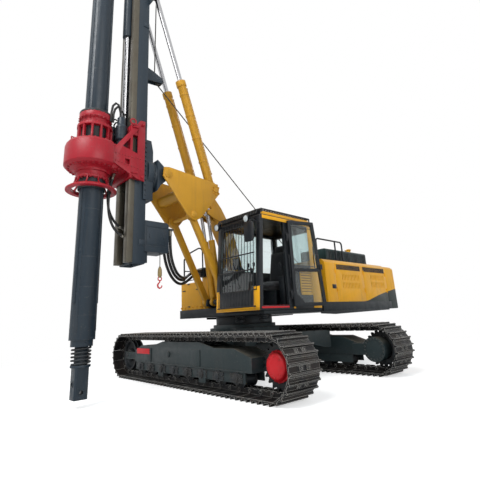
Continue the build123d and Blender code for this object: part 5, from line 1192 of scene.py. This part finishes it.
def headTrim():
    fit = headFittings
    motors = bmesh.new()
    pipes = bmesh.new()
    motorX, motorTop, circleRadius = fit["motorX"], fit["motorTop"], fit["capCircle"]
    for side in (-1, 1):
        y = side * fit["motorY"]
        for i in range(fit["ribs"]):
            addRing(motors, *fit["ribRadii"], 0.0, fit["ribHigh"],
                    (motorX, y, fit["ribLow"] + i * fit["ribPitch"]), (0, 0, 1), 28)
        for turn in (20, 110, 200, 290):
            angle = radians(turn)
            spot = (motorX + circleRadius * cos(angle), y + circleRadius * sin(angle), motorTop)
            addTurned(motors, peg(0.012, 0, 0.012, 0.002), spot, (0, 0, 1), 6)
        for step, x in enumerate((2.8, 2.865)):
            top = 4.6 + step * 0.035
            addTube(pipes, [(x, y, 4.468), (x, y, 4.54), (x - 0.02, y * 0.92, top - 0.01),
                            (x - 0.06, y * 0.75, top), (x - 0.1, y * 0.6, top - 0.03),
                            (x - 0.115, y * 0.56, 4.52), (x - 0.115, y * 0.56, 4.36)], 0.014)
            addTurned(pipes, peg(0.022, 0, 0.035), (x, y, 4.468), (0, 0, 1), 6)
        for lift, x in ((0.0, 2.995), (0.05, 3.035)):
            addTube(pipes, [(x, y * 1.02, 4.35), (x, y * 1.05, 4.5), (x - 0.02, y * 1.08, 4.6 + lift),
                            (x - 0.07, y * 1.08, 4.67 + lift), (x - 0.12, y * 1.06, 4.66 + lift),
                            (2.87, y * 1.02, 4.58), (2.862, y, motorTop)], 0.019, 10)
    grown("motorRibs", motors, "kellySlate", "rotary_head")
    grown("motorPipes", pipes, "hoseRubber", "rotary_head")
    ribs = bmesh.new()
    for side in (-1, 1):
        face = side * 0.345
        for z in (3.46, 4.3):
            addPrism(ribs, [(2.6, z), (2.72, z), (2.6, z + 0.05)], "y", face, face + side * 0.02)
        addRing(ribs, 0.04, 0.062, 0.0, 0.016, (2.7, face, 4.4), (0, side, 0), 24)
    grown("bracketPads", ribs, "headRed", "rotary_head", 0.002)
    teeth = bmesh.new()
    reach = fit["sideBoltRadius"]
    for i in range(fit["sideBolts"]):
        angle = 2 * pi * i / fit["sideBolts"]
        spot = Vector((kellyX + reach * cos(angle), reach * sin(angle), fit["sideBoltHeight"]))
        if abs(spot.y) < 0.3 or spot.x > 3.04:
            addTurned(teeth, peg(0.017, -0.006, 0.012, 0.002), spot, (cos(angle), sin(angle), 0), 6)
    grown("caseSideBolts", teeth, "headRed", "rotary_head")


# Kelly: weld seams round the tube, drive keys along it and pin rings on the stub
kellyFittings = {"seamHeights": (1.22, 1.62, 2.06, 2.8, 5.3, 7.4), "tubeRadius": 0.1765, "seamProud": 0.003,
                 "seamHigh": 0.01, "keyTurns": (35, 155, 275), "keyRadii": (0.1812, 0.1772), "keyLow": 1.0,
                 "keyTop": 9.2}


def kellyTrim():
    fit = kellyFittings
    work = bmesh.new()
    for z in fit["seamHeights"]:
        addRing(work, fit["tubeRadius"], fit["tubeRadius"] + fit["seamProud"], 0.0, fit["seamHigh"],
                (kellyX, 0, z), (0, 0, 1), 48)
    grown("kellyWelds", work, "kellySlate", "kelly")
    keys = bmesh.new()
    outer, inner = fit["keyRadii"]
    for turn in fit["keyTurns"]:
        angles = [radians(turn + swing) for swing in (-10, -5, 0, 5, 10)]
        rows = [(kellyX + radius * cos(angle), radius * sin(angle))
                for radius, way in ((outer, 1), (inner, -1)) for angle in angles[::way]]
        addPrism(keys, rows, "z", fit["keyLow"], fit["keyTop"])
    grown("kellyKeys", keys, "kellySlate", "kelly", 0.001)
    pins = bmesh.new()
    for z, way in ((0.205, (0, 1, 0)), (0.312, (1, 0, 0))):
        for hand in (-1, 1):
            ahead = Vector(way) * hand
            addRing(pins, 0.029, 0.04, -0.002, 0.006, Vector((kellyX, 0, z)) + ahead * 0.095, ahead, 24)
    nipple = [(0, 0), (0.014, 0), (0.014, 0.016), (0.006, 0.028), (0, 0.028)]
    addTurned(pins, nipple, (kellyX, 0.13, 0.862), (0, 1, 0.2), 8)
    grown("stubPinRings", pins, "kellySlate", "kelly")


linkagePins()
cylinderTrim()
mastTrim()
headTrim()
kellyTrim()
print("mast and head fitted out")


# Ropes run on their sheaves: signed radius is on which side of the wheel the rope passes
def wrapLine(one, two):
    gap = Vector((two["x"] - one["x"], two["z"] - one["z"]))
    turn = acos((two["radius"] - one["radius"]) / gap.length)
    ahead = gap.normalized()
    normal = Vector((ahead.x * cos(turn) - ahead.y * sin(turn), ahead.x * sin(turn) + ahead.y * cos(turn)))
    return [Vector((wheel["x"], wheel["z"])) - normal * wheel["radius"] for wheel in (one, two)]


def arc(wheel, start, stop, steps=14):
    # The rope's way round a wheel between two points on it
    centre = Vector((wheel["x"], wheel["z"]))
    first = atan2(start.y - centre.y, start.x - centre.x)
    last = atan2(stop.y - centre.y, stop.x - centre.x)
    spread = (last - first + pi) % (2 * pi) - pi
    radius = abs(wheel["radius"])
    return [centre + Vector((cos(first + spread * i / steps), sin(first + spread * i / steps))) * radius
            for i in range(steps + 1)]


def mainRope():
    drum = {"x": -2.05, "z": 1.9, "radius": -0.221}
    guide = {"x": 2.021, "z": 5.7, "radius": 0.091}
    rear = {"x": 2.3, "z": 12.7, "radius": -0.247}
    front = {"x": 2.961, "z": 12.7, "radius": -0.247}
    radius = 0.011
    leave, meet = wrapLine(drum, guide)
    lower = bmesh.new()
    addTube(lower, [(p.x, 0, p.y) for p in (leave, meet)], radius)
    # the coil on the drum: 21 turns of 28 steps over its width
    steps, reel, width = 21 * 28, abs(drum["radius"]), 0.47
    coil = [(drum["x"] + reel * cos(2 * pi * i / 28), width * (i / steps - 0.5),
             drum["z"] + reel * sin(2 * pi * i / 28)) for i in range(steps + 1)]
    addTube(lower, coil, radius, 6)
    grown("winchRope", lower, "wireRope", "upper")
    rise, reach = wrapLine(guide, rear)
    over, down = wrapLine(rear, front)
    points = arc(guide, meet, rise) + arc(rear, reach, over) + arc(front, down, Vector((kellyX, 12.7)))
    upper = bmesh.new()
    addTube(upper, [(p.x, 0, p.y) for p in points] + [(kellyX, 0, 9.86)], radius)
    grown("mastRope", upper, "wireRope", "mast")


mainRope()
print("ropes reeved")


# Studio: pale floor that fades into a white surround
def whiteSurround():
    world = bpy.data.worlds.new("paleStudio")
    bpy.context.scene.world = world
    world.use_nodes = True
    tree = world.node_tree
    tree.nodes.clear()
    path = addNode(tree, "ShaderNodeLightPath")
    seen = mathNode(tree, "MAXIMUM", path.outputs["Is Camera Ray"], path.outputs["Is Transmission Ray"])
    seen = mathNode(tree, "MAXIMUM", seen, path.outputs["Is Glossy Ray"])
    lit = addNode(tree, "ShaderNodeBackground", {"Color": linear("#dfe6ee"), "Strength": 0.45})
    shown = addNode(tree, "ShaderNodeBackground", {"Color": (1, 1, 1, 1), "Strength": 1.0})
    either = addNode(tree, "ShaderNodeMixShader", {0: seen, 1: lit.outputs[0], 2: shown.outputs[0]})
    addNode(tree, "ShaderNodeOutputWorld", {"Surface": either.outputs[0]})


def studioFloor():
    mesh = bpy.data.meshes.new("studioFloor")
    half = 60.0
    corners = [(x * half, y * half, 0) for x, y in ((-1, -1), (1, -1), (1, 1), (-1, 1))]
    mesh.from_pydata(corners, [], [(0, 1, 2, 3)])
    floor = placed("studioFloor", mesh)
    material, tree, coords = newMaterial("paleFloor")
    path = addNode(tree, "ShaderNodeLightPath")
    diffuse = addNode(tree, "ShaderNodeBsdfDiffuse", {"Color": linear("#f4f4f2")})
    glow = addNode(tree, "ShaderNodeEmission", {"Color": (1, 1, 1, 1), "Strength": 0.55})
    both = addNode(tree, "ShaderNodeAddShader", {0: diffuse.outputs[0], 1: glow.outputs[0]})
    # away from the rig the floor runs out into the white surround
    reach = addNode(tree, "ShaderNodeVectorMath", {0: coords}, operation="LENGTH").outputs["Value"]
    fade = addNode(tree, "ShaderNodeMapRange", {"Value": reach, "From Min": 4.5, "From Max": 9.0},
                   interpolation_type="SMOOTHSTEP").outputs[0]
    white = addNode(tree, "ShaderNodeEmission", {"Color": (1, 1, 1, 1), "Strength": 1.0})
    faded = addNode(tree, "ShaderNodeMixShader", {0: fade, 1: both.outputs[0], 2: white.outputs[0]})
    either = addNode(tree, "ShaderNodeMixShader", {0: path.outputs["Is Camera Ray"], 1: diffuse.outputs[0],
                                                   2: faded.outputs[0]})
    addNode(tree, "ShaderNodeOutputMaterial", {"Surface": either.outputs[0]})
    mesh.materials.append(material)


def softLamp(name, place, aim, size, power, hexColour="#ffffff"):
    lamp = bpy.data.lights.new(name, "AREA")
    lamp.energy = power
    lamp.size = size
    lamp.color = linear(hexColour)[:3]
    holder = placed(name, lamp)
    holder.location = place
    holder.rotation_euler = (Vector(aim) - Vector(place)).to_track_quat("-Z", "Y").to_euler()


whiteSurround()
studioFloor()
softLamp("keyLamp", (11.0, 3.0, 13.0), (0.5, 0.0, 2.0), 7.0, 1300)
softLamp("fillLamp", (4.0, 13.0, 6.0), (0.0, 0.0, 2.0), 8.0, 500)
softLamp("rimLamp", (-9.0, -6.0, 10.0), (0.0, 0.0, 3.0), 6.0, 500)
bpy.context.scene.view_settings.view_transform = "Standard"
print("studio set")
